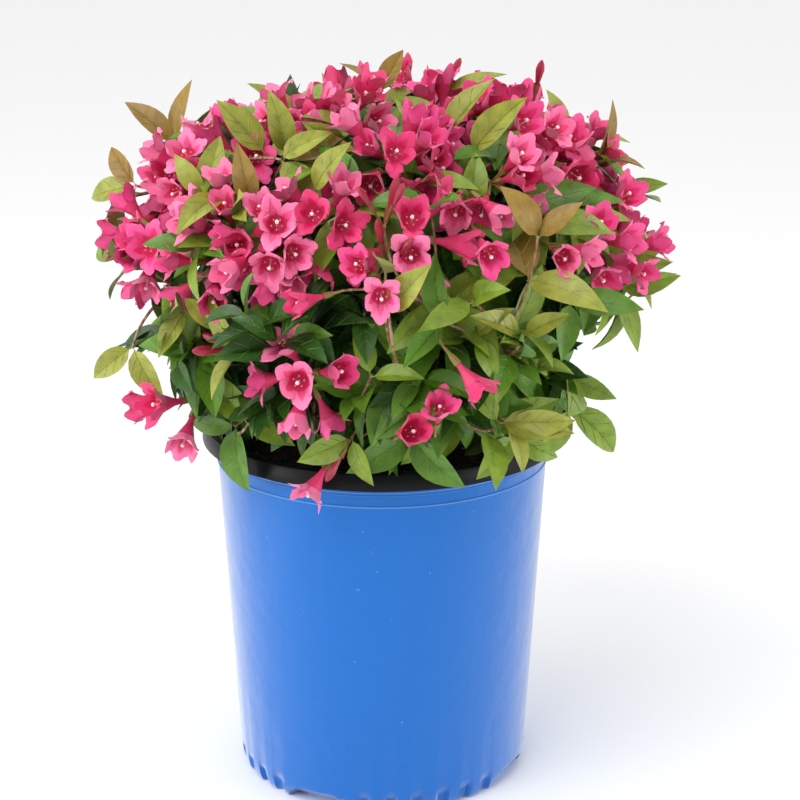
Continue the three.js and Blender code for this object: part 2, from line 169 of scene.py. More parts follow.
def node_group(name, given, *gives):
    """A group and its two end nodes. given holds the value each of its inputs starts from, and it
    puts out a colour and what gives names."""
    group = bpy.data.node_groups.new(name, "ShaderNodeTree")
    for label, value in given.items():
        kind = "NodeSocketColor" if isinstance(value, tuple) else "NodeSocketFloat"
        group.interface.new_socket(label, in_out="INPUT", socket_type=kind).default_value = value
    group.interface.new_socket("Color", in_out="OUTPUT", socket_type="NodeSocketColor")
    for label in gives:
        group.interface.new_socket(label, in_out="OUTPUT", socket_type="NodeSocketFloat")
    return group, group.nodes.new("NodeGroupInput"), group.nodes.new("NodeGroupOutput")


def add_noise(tree, scale, detail, stretch=(1, 1, 1)):
    """A Noise node on Object coordinates, with the scale given per metre."""
    where = tree.nodes.new("ShaderNodeTexCoord")
    mapping = tree.nodes.new("ShaderNodeMapping")
    mapping.inputs["Scale"].default_value = stretch
    made = tree.nodes.new("ShaderNodeTexNoise")
    made.inputs["Scale"].default_value = scale
    made.inputs["Detail"].default_value = detail
    tree.links.new(where.outputs["Object"], mapping.inputs["Vector"])
    tree.links.new(mapping.outputs["Vector"], made.inputs["Vector"])
    return made.outputs["Fac"]


def add_range(tree, value, low, high, to_low, to_high):
    """The value, with its range from low to high made one from to_low to to_high."""
    made = tree.nodes.new("ShaderNodeMapRange")
    made.inputs["From Min"].default_value = low
    made.inputs["From Max"].default_value = high
    made.inputs["To Min"].default_value = to_low
    made.inputs["To Max"].default_value = to_high
    tree.links.new(value, made.inputs["Value"])
    return made.outputs["Result"]


def add_mix(tree, share, a, b):
    """The mix of two colours, each a socket or a fixed colour."""
    made = tree.nodes.new("ShaderNodeMix")
    made.data_type = "RGBA"
    tree.links.new(share, made.inputs["Factor"])
    for end, color in (("A", a), ("B", b)):
        if isinstance(color, tuple):
            made.inputs[end].default_value = color
        else:
            tree.links.new(color, made.inputs[end])
    return made.outputs["Result"]


def add_sum(tree, first, second):
    """The sum of two values."""
    made = tree.nodes.new("ShaderNodeMath")
    made.operation = "ADD"
    tree.links.new(first, made.inputs[0])
    tree.links.new(second, made.inputs[1])
    return made.outputs["Value"]


# Handled plastic: a faint unevenness of the gloss, pale dust specks and a slight waviness.
handling, given, gives = node_group(
    "handled_plastic", {"Color": (0, 0, 0, 1), "Roughness": 0.35}, "Roughness", "Height")
DUST = (0.62, 0.66, 0.72, 1)
smears = add_range(handling, add_noise(handling, 26, 4, (1, 1, 0.35)), 0.3, 0.7, -0.05, 0.07)
specks = add_range(handling, add_noise(handling, 420, 1), 0.79, 0.82, 0, 0.35)
handling.links.new(add_mix(handling, specks, given.outputs["Color"], DUST), gives.inputs["Color"])
handling.links.new(add_sum(handling, given.outputs["Roughness"], smears), gives.inputs["Roughness"])
handling.links.new(add_noise(handling, 55, 2), gives.inputs["Height"])


def surfaced(material, group, depth, **given):
    """Gives a material the colour, gloss and relief of a group, the relief this many metres deep."""
    tree = material.node_tree
    shader = tree.nodes["Principled BSDF"]
    made = tree.nodes.new("ShaderNodeGroup")
    made.node_tree = group
    for socket, value in given.items():
        made.inputs[socket].default_value = (*value, 1) if isinstance(value, tuple) else value
    bump = tree.nodes.new("ShaderNodeBump")
    bump.inputs["Distance"].default_value = depth
    tree.links.new(made.outputs["Color"], shader.inputs["Base Color"])
    if "Roughness" in given:
        tree.links.new(made.outputs["Roughness"], shader.inputs["Roughness"])
    tree.links.new(made.outputs["Height"], bump.inputs["Height"])
    tree.links.new(bump.outputs["Normal"], shader.inputs["Normal"])
    return material


def polyethylene(name, color, roughness, depth, **sockets):
    """Handled plastic whose waves are this many metres deep."""
    material = finish(name, color, roughness, **sockets)
    return surfaced(material, handling, depth, Color=color, Roughness=roughness)


wall_heights = [0, 0.5, 2, 4, 6, 8, 10, 12, SHOULDER_HEIGHT, 70, 130, BEAD, BAND_FOOT - BAND]
outer = [(BASE_RADIUS, 0)] + [(wall_radius(height), height) for height in wall_heights]
outer += [(wall_radius(BAND_FOOT) + BAND, BAND_FOOT), (TOP_RADIUS + BAND, LIP_FOOT)]
above_foot = [(radius, height) for radius, height in outer if height > 3]
inner = [(radius - SKIN, height) for radius, height in reversed(above_foot)]
inner += [(FOOT_RADIUS + 1.4, 1), (FOOT_RADIUS - 1, THIN_SKIN), (BASE_RADIUS, THIN_SKIN),
          (0, THIN_SKIN)]
wall_bm = spun([(0, 0)] + outer + inner, POT_STEPS)
notched(wall_bm)
dimpled(wall_bm)
blue_plastic = polyethylene("blue_polyethylene", (0, 0.13, 0.5), 0.32, 0.0006,
                            Specular_IOR_Level=0.22, Sheen_Weight=0.95, Sheen_Roughness=0.42)
wall = piece("pot_wall", wall_bm, blue_plastic)
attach(wall, "root")
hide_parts("pot")

# The raised lines round the wall, painted a paler blue than the wall: a painted highlight where they
# catch the light.
HIGHLIGHT_LINE = 211
LINES = [  # name, height of the lower edge and the upper, how far it stands out
    ("pot_bead", BEAD - 1.5, BEAD, 0.75),
    ("pot_highlight_line", HIGHLIGHT_LINE, HIGHLIGHT_LINE + 0.8, 0.25),
]
LINE_SINK = 0.4  # into the wall
LINE_EDGE = 0.35
# Painted highlight: the raised lines take a paler blue than the wall.
painted_highlight_plastic = polyethylene("painted_highlight_polyethylene", (0.06, 0.24, 0.62), 0.4, 0.0002,
                              Sheen_Weight=0.5, Sheen_Roughness=0.35)
for name, low, high, out in LINES:
    side = wall_radius(low)
    profile = [(side - LINE_SINK, low), (side + out, low + LINE_EDGE),
               (side + out, high - LINE_EDGE), (side - LINE_SINK, high)]
    line = piece(name, spun(profile, POT_STEPS), painted_highlight_plastic)
    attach(line, "root")
    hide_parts("pot")


# ------------------------------------------------------------------------- the pot's black lining
# The inner layer of the same pot. It comes out over the top of the wall as a stiff collar, whose
# face slopes a little and whose lower edge turns under.

UNDERSIDE = THIN_SKIN + 0.1
FLOOR = 3  # height of the floor inside
lining_foot = [(0, UNDERSIDE), (BASE_RADIUS, UNDERSIDE), (FOOT_RADIUS - 1.2, UNDERSIDE),
               (FOOT_RADIUS + 1.3, 2)]
lining_outer = [(radius - SKIN - 0.05, height) for radius, height in above_foot]
collar = [
    (TOP_RADIUS + 0.4, LIP_FOOT + 0.2),
    (LIP_RADIUS - 1.6, LIP_FOOT + 0.3),
    (LIP_RADIUS - 0.9, LIP_FOOT - 0.4),
    (LIP_RADIUS - 0.2, LIP_FOOT - 0.1),
    (LIP_RADIUS, LIP_FOOT + 0.8),
    (LIP_RADIUS - 0.9, POT_HEIGHT - 3.2),
    (LIP_RADIUS - 1.9, POT_HEIGHT - 1.1),
    (LIP_RADIUS - 3.6, POT_HEIGHT - 0.2),
    (LIP_RADIUS - 5.4, POT_HEIGHT),
    (TOP_RADIUS + 1.6, POT_HEIGHT - 0.5),
    (TOP_RADIUS - 0.6, POT_HEIGHT - 2.4),
]
lining_inner = [(TOP_RADIUS - 1.6, LIP_FOOT - 1), (SHOULDER_RADIUS - 2 * SKIN, SHOULDER_HEIGHT),
                (FOOT_RADIUS + 1, FLOOR + 2), (BASE_RADIUS, FLOOR), (0, FLOOR)]
lining_bm = spun(lining_foot + lining_outer + collar + lining_inner, POT_STEPS)
notched(lining_bm)
dimpled(lining_bm)
black_plastic = polyethylene("black_polyethylene", (0.006, 0.007, 0.007), 0.34, 0.0004,
                             Specular_IOR_Level=0.12)
lining = piece("pot_lining", lining_bm, black_plastic)
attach(lining, "root")
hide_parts("pot")


# ------------------------------------------------------------------------------- the potting mix
# Composted bark and peat, packed into the pot and sunk a little at the wall. Loose chips of bark
# and a few grains of white perlite lie on it.

MIX_LEVEL = 202
MIX_SINK = 3
MIX_EDGE = MIX_LEVEL - 12  # height where it leaves the wall
MIX_RADIUS = 98  # of its loose top
LARGE_LUMP = 1.4
SMALL_LUMP = 0.7


def mix_height(x, y):
    """Of the loose top of the mix: sunk towards the wall, with large and small lumps."""
    large = LARGE_LUMP * noise.noise(Vector((x, y, 0)) / 9)
    small = SMALL_LUMP * noise.noise(Vector((x, y, 40)) / 3)
    return MIX_LEVEL - LARGE_LUMP - MIX_SINK * (math.hypot(x, y) / 100) ** 2 + large + small


packed = [(0, FLOOR + 0.4), (76, FLOOR + 0.4), (SHOULDER_RADIUS - 4, SHOULDER_HEIGHT + 2),
          (wall_radius(MIX_EDGE) - 2.6, MIX_EDGE)]
loose = [(radius, MIX_LEVEL) for radius in range(MIX_RADIUS, 0, -4)] + [(0, MIX_LEVEL)]
mix_bm = spun(packed + loose, 120)
for vert in mix_bm.verts:
    if vert.co.z > MIX_EDGE + 1:
        vert.co.z = mix_height(vert.co.x, vert.co.y)


def two_toned(name, fineness, stretch, low, high):
    """A group that is dark in the hollows of a noise and light on its heights."""
    group, given, gives = node_group(name, {"Dark": (0, 0, 0, 1), "Light": (1, 1, 1, 1)}, "Height")
    share = add_range(group, add_noise(group, fineness, 5, stretch), low, high, 0, 1)
    mixed = add_mix(group, share, given.outputs["Dark"], given.outputs["Light"])
    group.links.new(mixed, gives.inputs["Color"])
    group.links.new(share, gives.inputs["Height"])
    return group


def mottled(name, group, dark, light, roughness, depth):
    """A material that goes from dark to light, its hollows this many metres deep."""
    return surfaced(finish(name, light, roughness), group, depth, Dark=dark, Light=light)


crumbs = two_toned("crumbs", 900, (1, 1, 1), 0.35, 0.75)
peat = mottled("bark_and_peat_mix", crumbs, (0.008, 0.005, 0.003), (0.075, 0.045, 0.026), 0.95, 0.0008)
mix = piece("potting_mix_body", mix_bm, peat)
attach(mix, "root")
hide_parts("potting_mix")


def random_from(seed):
    """Numbers from 0 to 1 that are the same each time for one seed."""
    word = 0xFFFFFFFF
    state = ((seed * 2654435761) & word) ^ 0x9E3779B9

    def draw():
        nonlocal state
        state = (state + 0x6D2B79F5) & word
        mixed = ((state ^ (state >> 15)) * (state | 1)) & word
        mixed ^= (mixed + (((mixed ^ (mixed >> 7)) * (mixed | 61)) & word)) & word
        return ((mixed ^ (mixed >> 14)) & word) / (word + 1)

    return draw


def template_of(bm):
    """The points and the faces of a bmesh, as the pattern for many copies."""
    bm.verts.index_update()
    points = np.array([vert.co[:] for vert in bm.verts])
    faces = [[vert.index for vert in face.verts] for face in bm.faces]
    bm.free()
    return points, faces


def joined(name, faces, coords, material):
    """One object of many copies. coords holds copies x points x 3 places, in millimetres."""
    copies, points = coords.shape[:2]
    corners = np.array([corner for face in faces for corner in face])
    sizes = np.array([len(face) for face in faces])
    shift = np.arange(copies)[:, None]
    starts = np.concatenate([[0], np.cumsum(sizes)[:-1]])
    mesh = bpy.data.meshes.new(name)
    mesh.vertices.add(copies * points)
    mesh.vertices.foreach_set("co", (coords * MM).astype(np.float32).ravel())
    mesh.loops.add(copies * len(corners))
    mesh.loops.foreach_set("vertex_index", (corners + shift * points).astype(np.int32).ravel())
    mesh.polygons.add(copies * len(faces))
    mesh.polygons.foreach_set("loop_start", (starts + shift * len(corners)).astype(np.int32).ravel())
    mesh.update(calc_edges=True)
    return shaded(name, mesh, material)


chip_bm = bmesh.new()
bmesh.ops.create_cube(chip_bm, size=1)
bmesh.ops.bevel(chip_bm, geom=chip_bm.edges[:4], offset=0.3, offset_type="OFFSET", segments=1,
                profile=0.5, affect="EDGES", material=-1)
chip_points, chip_faces = template_of(chip_bm)


def scattered(count, seed, low, high):
    """Chips of low to high millimetres that lie on the mix, turned and tilted at random."""
    random = random_from(seed)
    placed = []
    for _ in range(count):
        flat = (MIX_RADIUS - 1) * math.sqrt(random())
        azimuth = random() * 2 * math.pi
        size = low + (high - low) * random() ** 2
        x, y = flat * math.cos(azimuth), flat * math.sin(azimuth)
        turned = Matrix.Rotation(random() * 6.3, 3, "Z") @ Matrix.Rotation(random() * 0.9, 3, "X")
        shape = chip_points * np.array([size, size * (0.4 + 0.4 * random()), size * 0.3])
        placed.append(shape @ np.array(turned).T + np.array([x, y, mix_height(x, y) + size * 0.1]))
    return np.array(placed)


CHIPS = [  # name, material, its dark and light colour, count, seed, least and greatest size
    ("bark_chips", "composted_bark", (0.03, 0.016, 0.009), (0.13, 0.07, 0.04), 520, 5, 2.5, 8),
    ("perlite_grains", "perlite", (0.42, 0.4, 0.36), (0.75, 0.73, 0.7), 60, 9, 1.2, 2.6),
]
for name, material_name, dark, light, count, seed, low, high in CHIPS:
    material = mottled(material_name, crumbs, dark, light, 0.9, 0.0003)
    chips = joined(name, chip_faces, scattered(count, seed, low, high), material)
    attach(chips, "root")
    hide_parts("potting_mix")


# ------------------------------------------------------------------------ the woody foot and boughs
# The shrub's old wood: a short foot with root flares just above the mix, and one bough from it to
# each mass of the crown. Its bark is thin, brown-grey and ridged along the grain.

CLEARANCE = 0.3
FOOT_BOTTOM = MIX_LEVEL + CLEARANCE
FOOT_HEIGHT = 26
FOOT_TOP = FOOT_BOTTOM + FOOT_HEIGHT
FOOT_SUNK = 4  # how far the foot goes on down into the mix
FOOT_FLARE = 21  # its radius at the bottom
FOOT_NECK = 13.5  # and at the top
FOOT_LEAN = 2.5
FOOT_STATIONS = 18
ROOT_FLARES = 5

# The foot is drawn with radius and height 1, then flared, ridged and set in its place.
stations = [-FOOT_SUNK / FOOT_HEIGHT] + [i / FOOT_STATIONS for i in range(FOOT_STATIONS + 1)]
foot_bm = spun([(0, stations[0])] + [(1, station) for station in stations] + [(0, 1)], 60)
for vert in foot_bm.verts:
    up = min(max(vert.co.z, 0), 1)
    flare = (1 - up) ** 2
    angle = math.atan2(vert.co.x, -vert.co.y)
    radius = FOOT_NECK + (FOOT_FLARE - FOOT_NECK) * flare
    radius *= 1 + 0.16 * flare * math.cos(ROOT_FLARES * angle)
    radius += 1.6 * noise.noise(Vector((math.sin(angle) * 5, math.cos(angle) * 5, up * 1.2)))
    spread = math.hypot(vert.co.x, vert.co.y) * radius
    vert.co = Vector((spread * math.sin(angle) + FOOT_LEAN * up ** 2, -spread * math.cos(angle),
                      FOOT_BOTTOM + vert.co.z * FOOT_HEIGHT))

# The grain of bark: dark furrows along the limb between paler plates.
grain = two_toned("bark_grain", 420, (1, 1, 0.22), 0.38, 0.64)
old_bark = mottled("old_bark", grain, (0.06, 0.035, 0.02), (0.26, 0.17, 0.1), 0.85, 0.0007)
woody_foot = piece("foot_of_the_shrub", foot_bm, old_bark)
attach(woody_foot, "root")
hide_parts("woody_foot")

# The crown keeps to a squarish dome. Its tips lie on the dome and on a smaller one inside it.
CENTRE = Vector((0, 0, 315))
DOME_RADIUS = 148
DOME_ABOVE = (103, 2.9)  # height and squareness
DOME_BELOW = (104, 1.6)
SHELLS = [(52, 0.97, -50), (24, 0.62, -58)]  # tips, share of the dome, lowest elevation
SCATTER = 0.08
SEED = 16
HEART_SHARE = 0.56
STEM_END = 0.84

SPRIGS = [  # azimuth, elevation, share of the dome
    (184, 18, 1.08),
    (192, 38, 1.14),
    (275, 84, 1.08),
    (350, 32, 1.14),
    (358, 10, 1.1),
    (352, -5, 1.06),
    (188, -14, 1.04),
    (190, -31, 1.08),
    (250, -31, 1.06),
    (338, -30, 1.1),
    (95, 20, 1.1),
    (60, 48, 1.1),
    (130, -12, 1.12),
]

# Each tier: elevation, ring and drop of its boughs' roots, bend out and up, share of bare bough.
TOP = (88, 0, 4, 0.2, 0.6, 0.5)
UPPER = (41, 8.6, 4, 0.36, 0.64, 0.66)
LOWER = (-17, 9, 16, 0.5, 1.32, 0.5)
MASSES = [  # name, tier, azimuth, share of twigs in blossom
    ("top", TOP, 270, 0.75),
    ("upper_front", UPPER, 270, 0.6),
    ("upper_left", UPPER, 198, 0.85),
    ("upper_back_left", UPPER, 126, 0.85),
    ("upper_back_right", UPPER, 54, 0.85),
    ("upper_right", UPPER, 342, 0.6),
    ("front_left", LOWER, 247, 0.2),
    ("front_right", LOWER, 292, 0.05),
    ("right", LOWER, 337, 0.15),
    ("back_right", LOWER, 22, 0.4),
    ("right_of_back", LOWER, 67, 0.4),
    ("left_of_back", LOWER, 112, 0.4),
    ("back_left", LOWER, 157, 0.45),
    ("left", LOWER, 202, 0.6),
]
FOLIAGE_NODES = ["foliage_" + name for name, *_ in MASSES]
BOUGH_NODES = ["bough_" + name for name, *_ in MASSES]


def direction_to(azimuth, elevation):
    """The way to this azimuth and elevation from the crown's centre, of length 1."""
    a, e = math.radians(azimuth), math.radians(elevation)
    return Vector((math.cos(a) * math.cos(e), math.sin(a) * math.cos(e), math.sin(e)))


def dome_reach(direction):
    """How far the dome is from the crown's centre this way."""
    height, squareness = DOME_ABOVE if direction.z > 0 else DOME_BELOW
    flat = math.hypot(direction.x, direction.y) / DOME_RADIUS
    return (flat ** squareness + (abs(direction.z) / height) ** squareness) ** (-1 / squareness)


def crown_point(direction, share):
    """The point this way from the crown's centre, at a share of the dome's reach."""
    return CENTRE + direction * (dome_reach(direction) * share)


class Curve:
    """A bent line from root to tip, as a limb or a twig follows it."""

    def __init__(self, root, bend, tip):
        self.root, self.bend, self.tip = root, bend, tip

    def point(self, at):
        return self.root * (1 - at) ** 2 + self.bend * (2 * at * (1 - at)) + self.tip * at ** 2

    def tangent(self, at):
        way = (self.bend - self.root) * (1 - at) + (self.tip - self.bend) * at
        return way.normalized()


class Mass:
    """A mass of foliage: its heart, the tips of its twigs and the curve of its bough and stem."""

    def __init__(self, tier, azimuth, blossom):
        elevation, ring, below, out, up, fork = tier
        self.blossom, self.fork = blossom, fork
        self.direction = direction_to(azimuth, elevation)
        self.heart = crown_point(self.direction, HEART_SHARE)
        self.tips = []
        outer = crown_point(self.direction, STEM_END)
        away = Vector((outer.x, outer.y, 0)).normalized()
        root = away * ring + Vector((FOOT_LEAN, 0, FOOT_TOP - below))
        bend = root + away * (math.hypot(outer.x, outer.y) * out)
        bend.z += (outer.z - root.z) * up
        self.curve = Curve(root, bend, outer)


masses = [Mass(*row) for _, *row in MASSES]


def tubes(name, lines, material, sides):
    """Closed tapering tubes along lines of (point, radius), joined into one object."""
    curve = bpy.data.curves.new(name, "CURVE")
    curve.dimensions = "3D"
    curve.fill_mode = "FULL"
    curve.bevel_depth = MM
    curve.bevel_resolution = sides // 2 - 2
    curve.use_fill_caps = True
    for line in lines:
        spline = curve.splines.new("POLY")
        spline.points.add(len(line) - 1)
        for knot, (point, radius) in zip(spline.points, line):
            knot.co = (*(point * MM), 1)
            knot.radius = radius
    holder = linked(name + "_line", curve)
    shaped = holder.evaluated_get(bpy.context.evaluated_depsgraph_get())
    mesh = bpy.data.meshes.new_from_object(shaped)
    bpy.data.objects.remove(holder)
    mesh.name = name
    mesh.materials.clear()
    mesh.materials.append(material)
    return linked(name, mesh)


def relief(limbs, depth, fineness):
    """Presses the ridges of bark into the limbs' mesh, this many millimetres deep."""
    bm = bmesh.new()
    bm.from_mesh(limbs.data)
    bmesh.ops.remove_doubles(bm, verts=bm.verts, dist=1e-7)
    bm.normal_update()
    for vert in bm.verts:
        place = Vector((vert.co.x, vert.co.y, vert.co.z * 0.3)) * fineness
        vert.co += vert.normal * noise.noise(place) * depth * MM
    bm.to_mesh(limbs.data)
    bm.free()
    limbs.data.shade_smooth()
    limbs.data.set_sharp_from_angle(angle=math.radians(50))


def limb_line(curve, start, end, thick, thin, steps):
    """Points and radii along part of a curve, a little swollen where leaves once stood."""
    line = []
    for i in range(steps + 1):
        share = i / steps
        swell = 0.12 if i % 6 == 3 else 0
        radius = (thick + (thin - thick) * share) * (1 + swell)
        line.append((curve.point(start + (end - start) * share), radius))
    return line


BOUGH_THICK = 4
BOUGH_THIN = 3
bough_lines = [limb_line(mass.curve, 0, mass.fork, BOUGH_THICK, BOUGH_THIN, 24) for mass in masses]
boughs = tubes("boughs", bough_lines, old_bark, 12)
relief(boughs, 0.5, 700)
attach(boughs, "root")
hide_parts(*BOUGH_NODES)


# ----------------------------------------------------------------------------- how the crown grows
# Each bough goes on as the stem of its mass. Long thin twigs leave the stem for the tips of the
# crown, and short flowering shoots leave the twigs where leaves stand. Their curves are grown
# here, and the wood is made last, when it is known what it carries.

UP = Vector((0, 0, 1))


def level_side(along):
    """The level way square to a limb."""
    side = along.cross(UP)
    return Vector((1, 0, 0)) if side.length < 1e-2 else side.normalized()


def turned_about(vector, axis, degrees):
    """A copy of a vector, turned."""
    turned = vector.copy()
    turned.rotate(Matrix.Rotation(math.radians(degrees), 3, axis))
    return turned


def spread_tips():
    """Tips in an even spiral over each shell, and the sprigs, each with the mass it is nearest."""
    spiral = math.pi * (3 - math.sqrt(5))
    tips = []
    for shell, (count, share, lowest) in enumerate(SHELLS):
        for i in range(count):
            high = 1 - ((i + 0.5) / count) * (1 - math.sin(math.radians(lowest)))
            flat = math.sqrt(1 - high ** 2)
            turn = i * spiral + shell
            tips.append((Vector((flat * math.cos(turn), flat * math.sin(turn), high)), share, shell))
    for azimuth, elevation, share in SPRIGS:
        tips.append((direction_to(azimuth, elevation), share, 0))
    for i, (direction, share, inner) in enumerate(tips):
        random = random_from(SEED * 1000 + i)
        point = crown_point(direction, share * (1 + SCATTER * (random() - 0.5)))
        nearest = min(masses, key=lambda mass: (point - mass.heart).length)
        nearest.tips.append((direction, point, inner, random))


def keeps_to(point, mass):
    """Whether a point is nearer to this mass's heart than to any other's."""
    own = (point - mass.heart).length_squared
    return all(other is mass or (point - other.heart).length_squared > own for other in masses)


def twig_curve(mass, direction, point, inner, arch):
    """A twig leaves the stem the lower, the further its tip is to the side."""
    aside = direction.angle(mass.direction) / 0.55
    start = mass.fork + (0.93 - mass.fork) * (0.15 if inner else 1 / (1 + aside ** 2))
    root = mass.curve.point(start)
    bend = root.lerp(point, 0.45)
    bend += mass.curve.tangent(start) * ((point - root).length * 0.18 * arch) + UP * (4 * arch)
    return Curve(root, bend, point)


def twig_to(mass, direction, point, inner):
    """A twig that arches as far as its mass allows."""
    for arch in (1, 0.5, 0):
        curve = twig_curve(mass, direction, point, inner, arch)
        if all(keeps_to(curve.point(at / 8), mass) for at in range(1, 9)):
            return curve
    return curve


RADIUS = {"twig": 1.35, "side shoot": 0.85, "spray": 0.95}  # sprays stand out of the crown
YOUNGEST = 4  # the tint of the newest leaves, bronze; 0 is the deep green of old ones in shade


class Shoot:
    """A twig with pairs of leaves at its nodes and perhaps flowers and buds at its tip.

    Its nodes are shares of its curve, its size and turn are those of its leaves, and held_by is
    the shoot that it grows on, if any, with the place there."""

    def __init__(self, kind, curve, nodes, size, tint, flowers, buds, turn, random, held_by=None):
        self.kind, self.curve, self.nodes, self.size = kind, curve, nodes, size
        self.tint, self.flowers, self.buds, self.turn = tint, flowers, buds, turn
        self.random, self.held_by = random, held_by
        self.radius = RADIUS[kind]
        self.stands_out = kind == "spray"
        self.end = 0  # share of the curve at the last thing that grows on it


# The frame of a camera in front of the crown, in which the places of the sprays are given.
CAMERA = Vector((11.15, -1286.3, 632))
CAMERA_TILT = math.radians(17)
LENS = 96.8
SENSOR = 36
FRAME = 800  # its width and height
AHEAD = Vector((0, math.cos(CAMERA_TILT), -math.sin(CAMERA_TILT)))
ABOVE = Vector((0, math.sin(CAMERA_TILT), math.cos(CAMERA_TILT)))
BESIDE = Vector((1, 0, 0))

# Each spray: how far across and down the frame its tip or its bunch is, the depth there as a share
# of the dome (or as y, where that is negative), the angle it points to in the frame and its lean
# towards the camera, then its pairs of leaves, flowers, buds and tint.
Spray = namedtuple("Spray", "across down depth angle lean pairs flowers buds tint")
SPRAYS = [Spray(*row) for row in [
    (132, 184, -18, 160, 10, 1, 0, 0, 3.4),
    (131, 240, -45, 196, 25, 0, 4, 0, 2),
    (212, 232, 1, 185, 40, 0, 9, 0, 2),
    (196, 268, 1, 200, 40, 0, 6, 0, 2),
    (262, 246, 1.02, 215, 60, 0, 9, 0, 2),
    (312, 225, 1.02, 200, 60, 0, 8, 0, 2),
    (236, 150, 1, 120, 50, 0, 9, 0, 2),
    (177, 180, 1, 185, 25, 0, 8, 0, 2),
    (300, 118, -50, 100, 50, 0, 6, 0, 2.4),
    (345, 108, -40, 95, 45, 0, 8, 0, 2),
    (372, 172, 1, 220, 60, 0, 5, 0, 2),
    (428, 110, 1, 290, 60, 0, 5, 1, 2),
    (400, 158, 1.02, 60, 70, 0, 6, 0, 2),
    (464, 192, 1.04, 280, 60, 0, 2, 0, 2),
    (422, 243, 1.04, 330, 55, 0, 6, 0, 2),
    (428, 145, 1.02, 20, 20, 0, 4, 0, 2),
    (450, 108, -25, 75, 35, 0, 8, 0, 2),
    (505, 112, -25, 80, 30, 0, 6, 0, 2),
    (540, 130, -30, 40, 35, 0, 6, 0, 2),
    (585, 165, 1, 340, 50, 0, 8, 0, 2),
    (500, 195, 1.02, 300, 55, 0, 6, 0, 2),
    (374, 282, 1.06, 240, 65, 0, 2, 0, 2),
    (326, 293, 1.06, 190, 30, 0, 1, 0, 2),
    (474, 240, 1.06, 280, 35, 0, 1, 1, 2),
    (556, 245, 1.04, 340, 60, 0, 2, 0, 2),
    (600, 255, 1.04, 330, 30, 0, 4, 0, 2),
    (630, 243, -50, 20, 25, 0, 4, 0, 2),
    (452, 362, 1.08, 300, 0, 0, 1, 0, 1.6),
    (303, 392, 1.06, 262, 45, 0, 6, 0, 2),
    (318, 462, -121, 212, 15, 0, 1, 0, 2),
    (349, 442, -120, 240, 20, 1, 0, 1, 2.2),
    (396, 432, -140, 95, 75, 0, 1, 0, 1.6),
    (436, 428, -140, 85, 70, 0, 1, 0, 1.6),
    (174, 410, -80, 205, 20, 0, 3, 0, 1.7),
    (236, 350, 1, 175, 20, 1, 0, 2, 2.2),
    (384, 225, 1.1, 92, 15, 0, 0, 3, 3),
    (386, 268, 1.08, 85, 25, 1, 0, 2, 3),
    (181, 311, -90, 185, 30, 1, 0, 0, 2.8),
    (132, 350, -60, 262, 20, 1, 0, 0, 2.7),
    (215, 330, 1, 160, 35, 1, 0, 0, 2.2),
    (380, 90, -8, 108, 5, 1, 0, 0, 3.2),
    (446, 88, -10, 60, 15, 1, 0, 1, 3),
    (534, 100, -20, 75, 10, 0, 0, 1, 2),
    (174, 142, -5, 97, 15, 2, 0, 0, 3.5),
    (596, 162, -20, 38, 10, 2, 0, 0, 3.5),
    (288, 152, 1.02, 60, 40, 1, 0, 0, 3.2),
    (345, 150, 1.02, 200, 40, 1, 0, 0, 2.6),
    (522, 334, 1.06, 90, 40, 1, 0, 0, 2.8),
    (538, 232, 1.12, 88, 30, 2, 0, 0, 3.7),
    (372, 372, 1.02, 75, 30, 1, 0, 0, 1.8),
    (388, 306, 1.13, 95, 35, 1, 0, 0, 3.2),
    (621, 193, -15, 330, 20, 1, 0, 0, 1.6),
    (602, 214, -30, 350, 30, 1, 0, 0, 2.8),
    (628, 262, -40, 352, 15, 1, 0, 0, 3),
    (622, 292, -45, 325, 10, 1, 0, 0, 1.8),
    (564, 376, -55, 288, 10, 1, 0, 0, 1.6),
    (610, 272, -45, 330, 30, 1, 0, 0, 1.8),
    (622, 290, -45, 320, 25, 1, 0, 0, 1.8),
    (574, 304, 1.05, 320, 35, 1, 0, 0, 1.4),
    (500, 420, -120, 70, 30, 2, 0, 0, 2.2),
    (512, 424, -122, 330, 25, 1, 0, 0, 3),
    (570, 412, -70, 278, 10, 2, 0, 0, 1.8),
    (516, 440, -112, 270, 35, 1, 0, 0, 1.5),
    (232, 428, -85, 215, 20, 1, 0, 0, 1.2),
    (250, 420, -100, 60, 30, 1, 0, 0, 1.2),
    (204, 196, 1.03, 80, 30, 1, 0, 0, 2.9),
    (253, 204, 1.06, 62, 30, 1, 0, 0, 3.7),
    (284, 160, 1.04, 345, 40, 1, 0, 0, 3.1),
    (302, 126, 0.99, 80, 20, 1, 0, 0, 2.9),
    (266, 150, 1.02, 75, 25, 1, 0, 0, 2.6),
    (441, 136, 1.03, 115, 20, 1, 0, 0, 2.3),
    (352, 137, 0.99, 60, 40, 1, 0, 0, 2.2),
    (430, 205, 1.05, 100, 40, 1, 0, 0, 1.4),
    (238, 212, 1.05, 200, 40, 1, 0, 0, 2.6),
    (470, 300, 1.05, 150, 40, 1, 0, 0, 1.3),
    (440, 320, 1.03, 160, 40, 1, 0, 0, 1.2),
    (146, 264, -60, 205, 30, 0, 4, 0, 2),
    (318, 190, 1.05, 20, 45, 1, 0, 0, 3.3),
    (470, 150, 1.03, 100, 30, 1, 0, 0, 3.1),
    (560, 140, 0.99, 60, 30, 1, 0, 0, 3),
    (220, 200, 1.02, 240, 40, 1, 0, 0, 3),
    (410, 440, -112, 265, 30, 1, 0, 0, 1.2),
]]
SPRAY_LENGTH = 48
CLEAR_OF_SPRAYS = 16  # between a side shoot's tip and theirs
ALONE = 24  # and a twig's, for it to flower


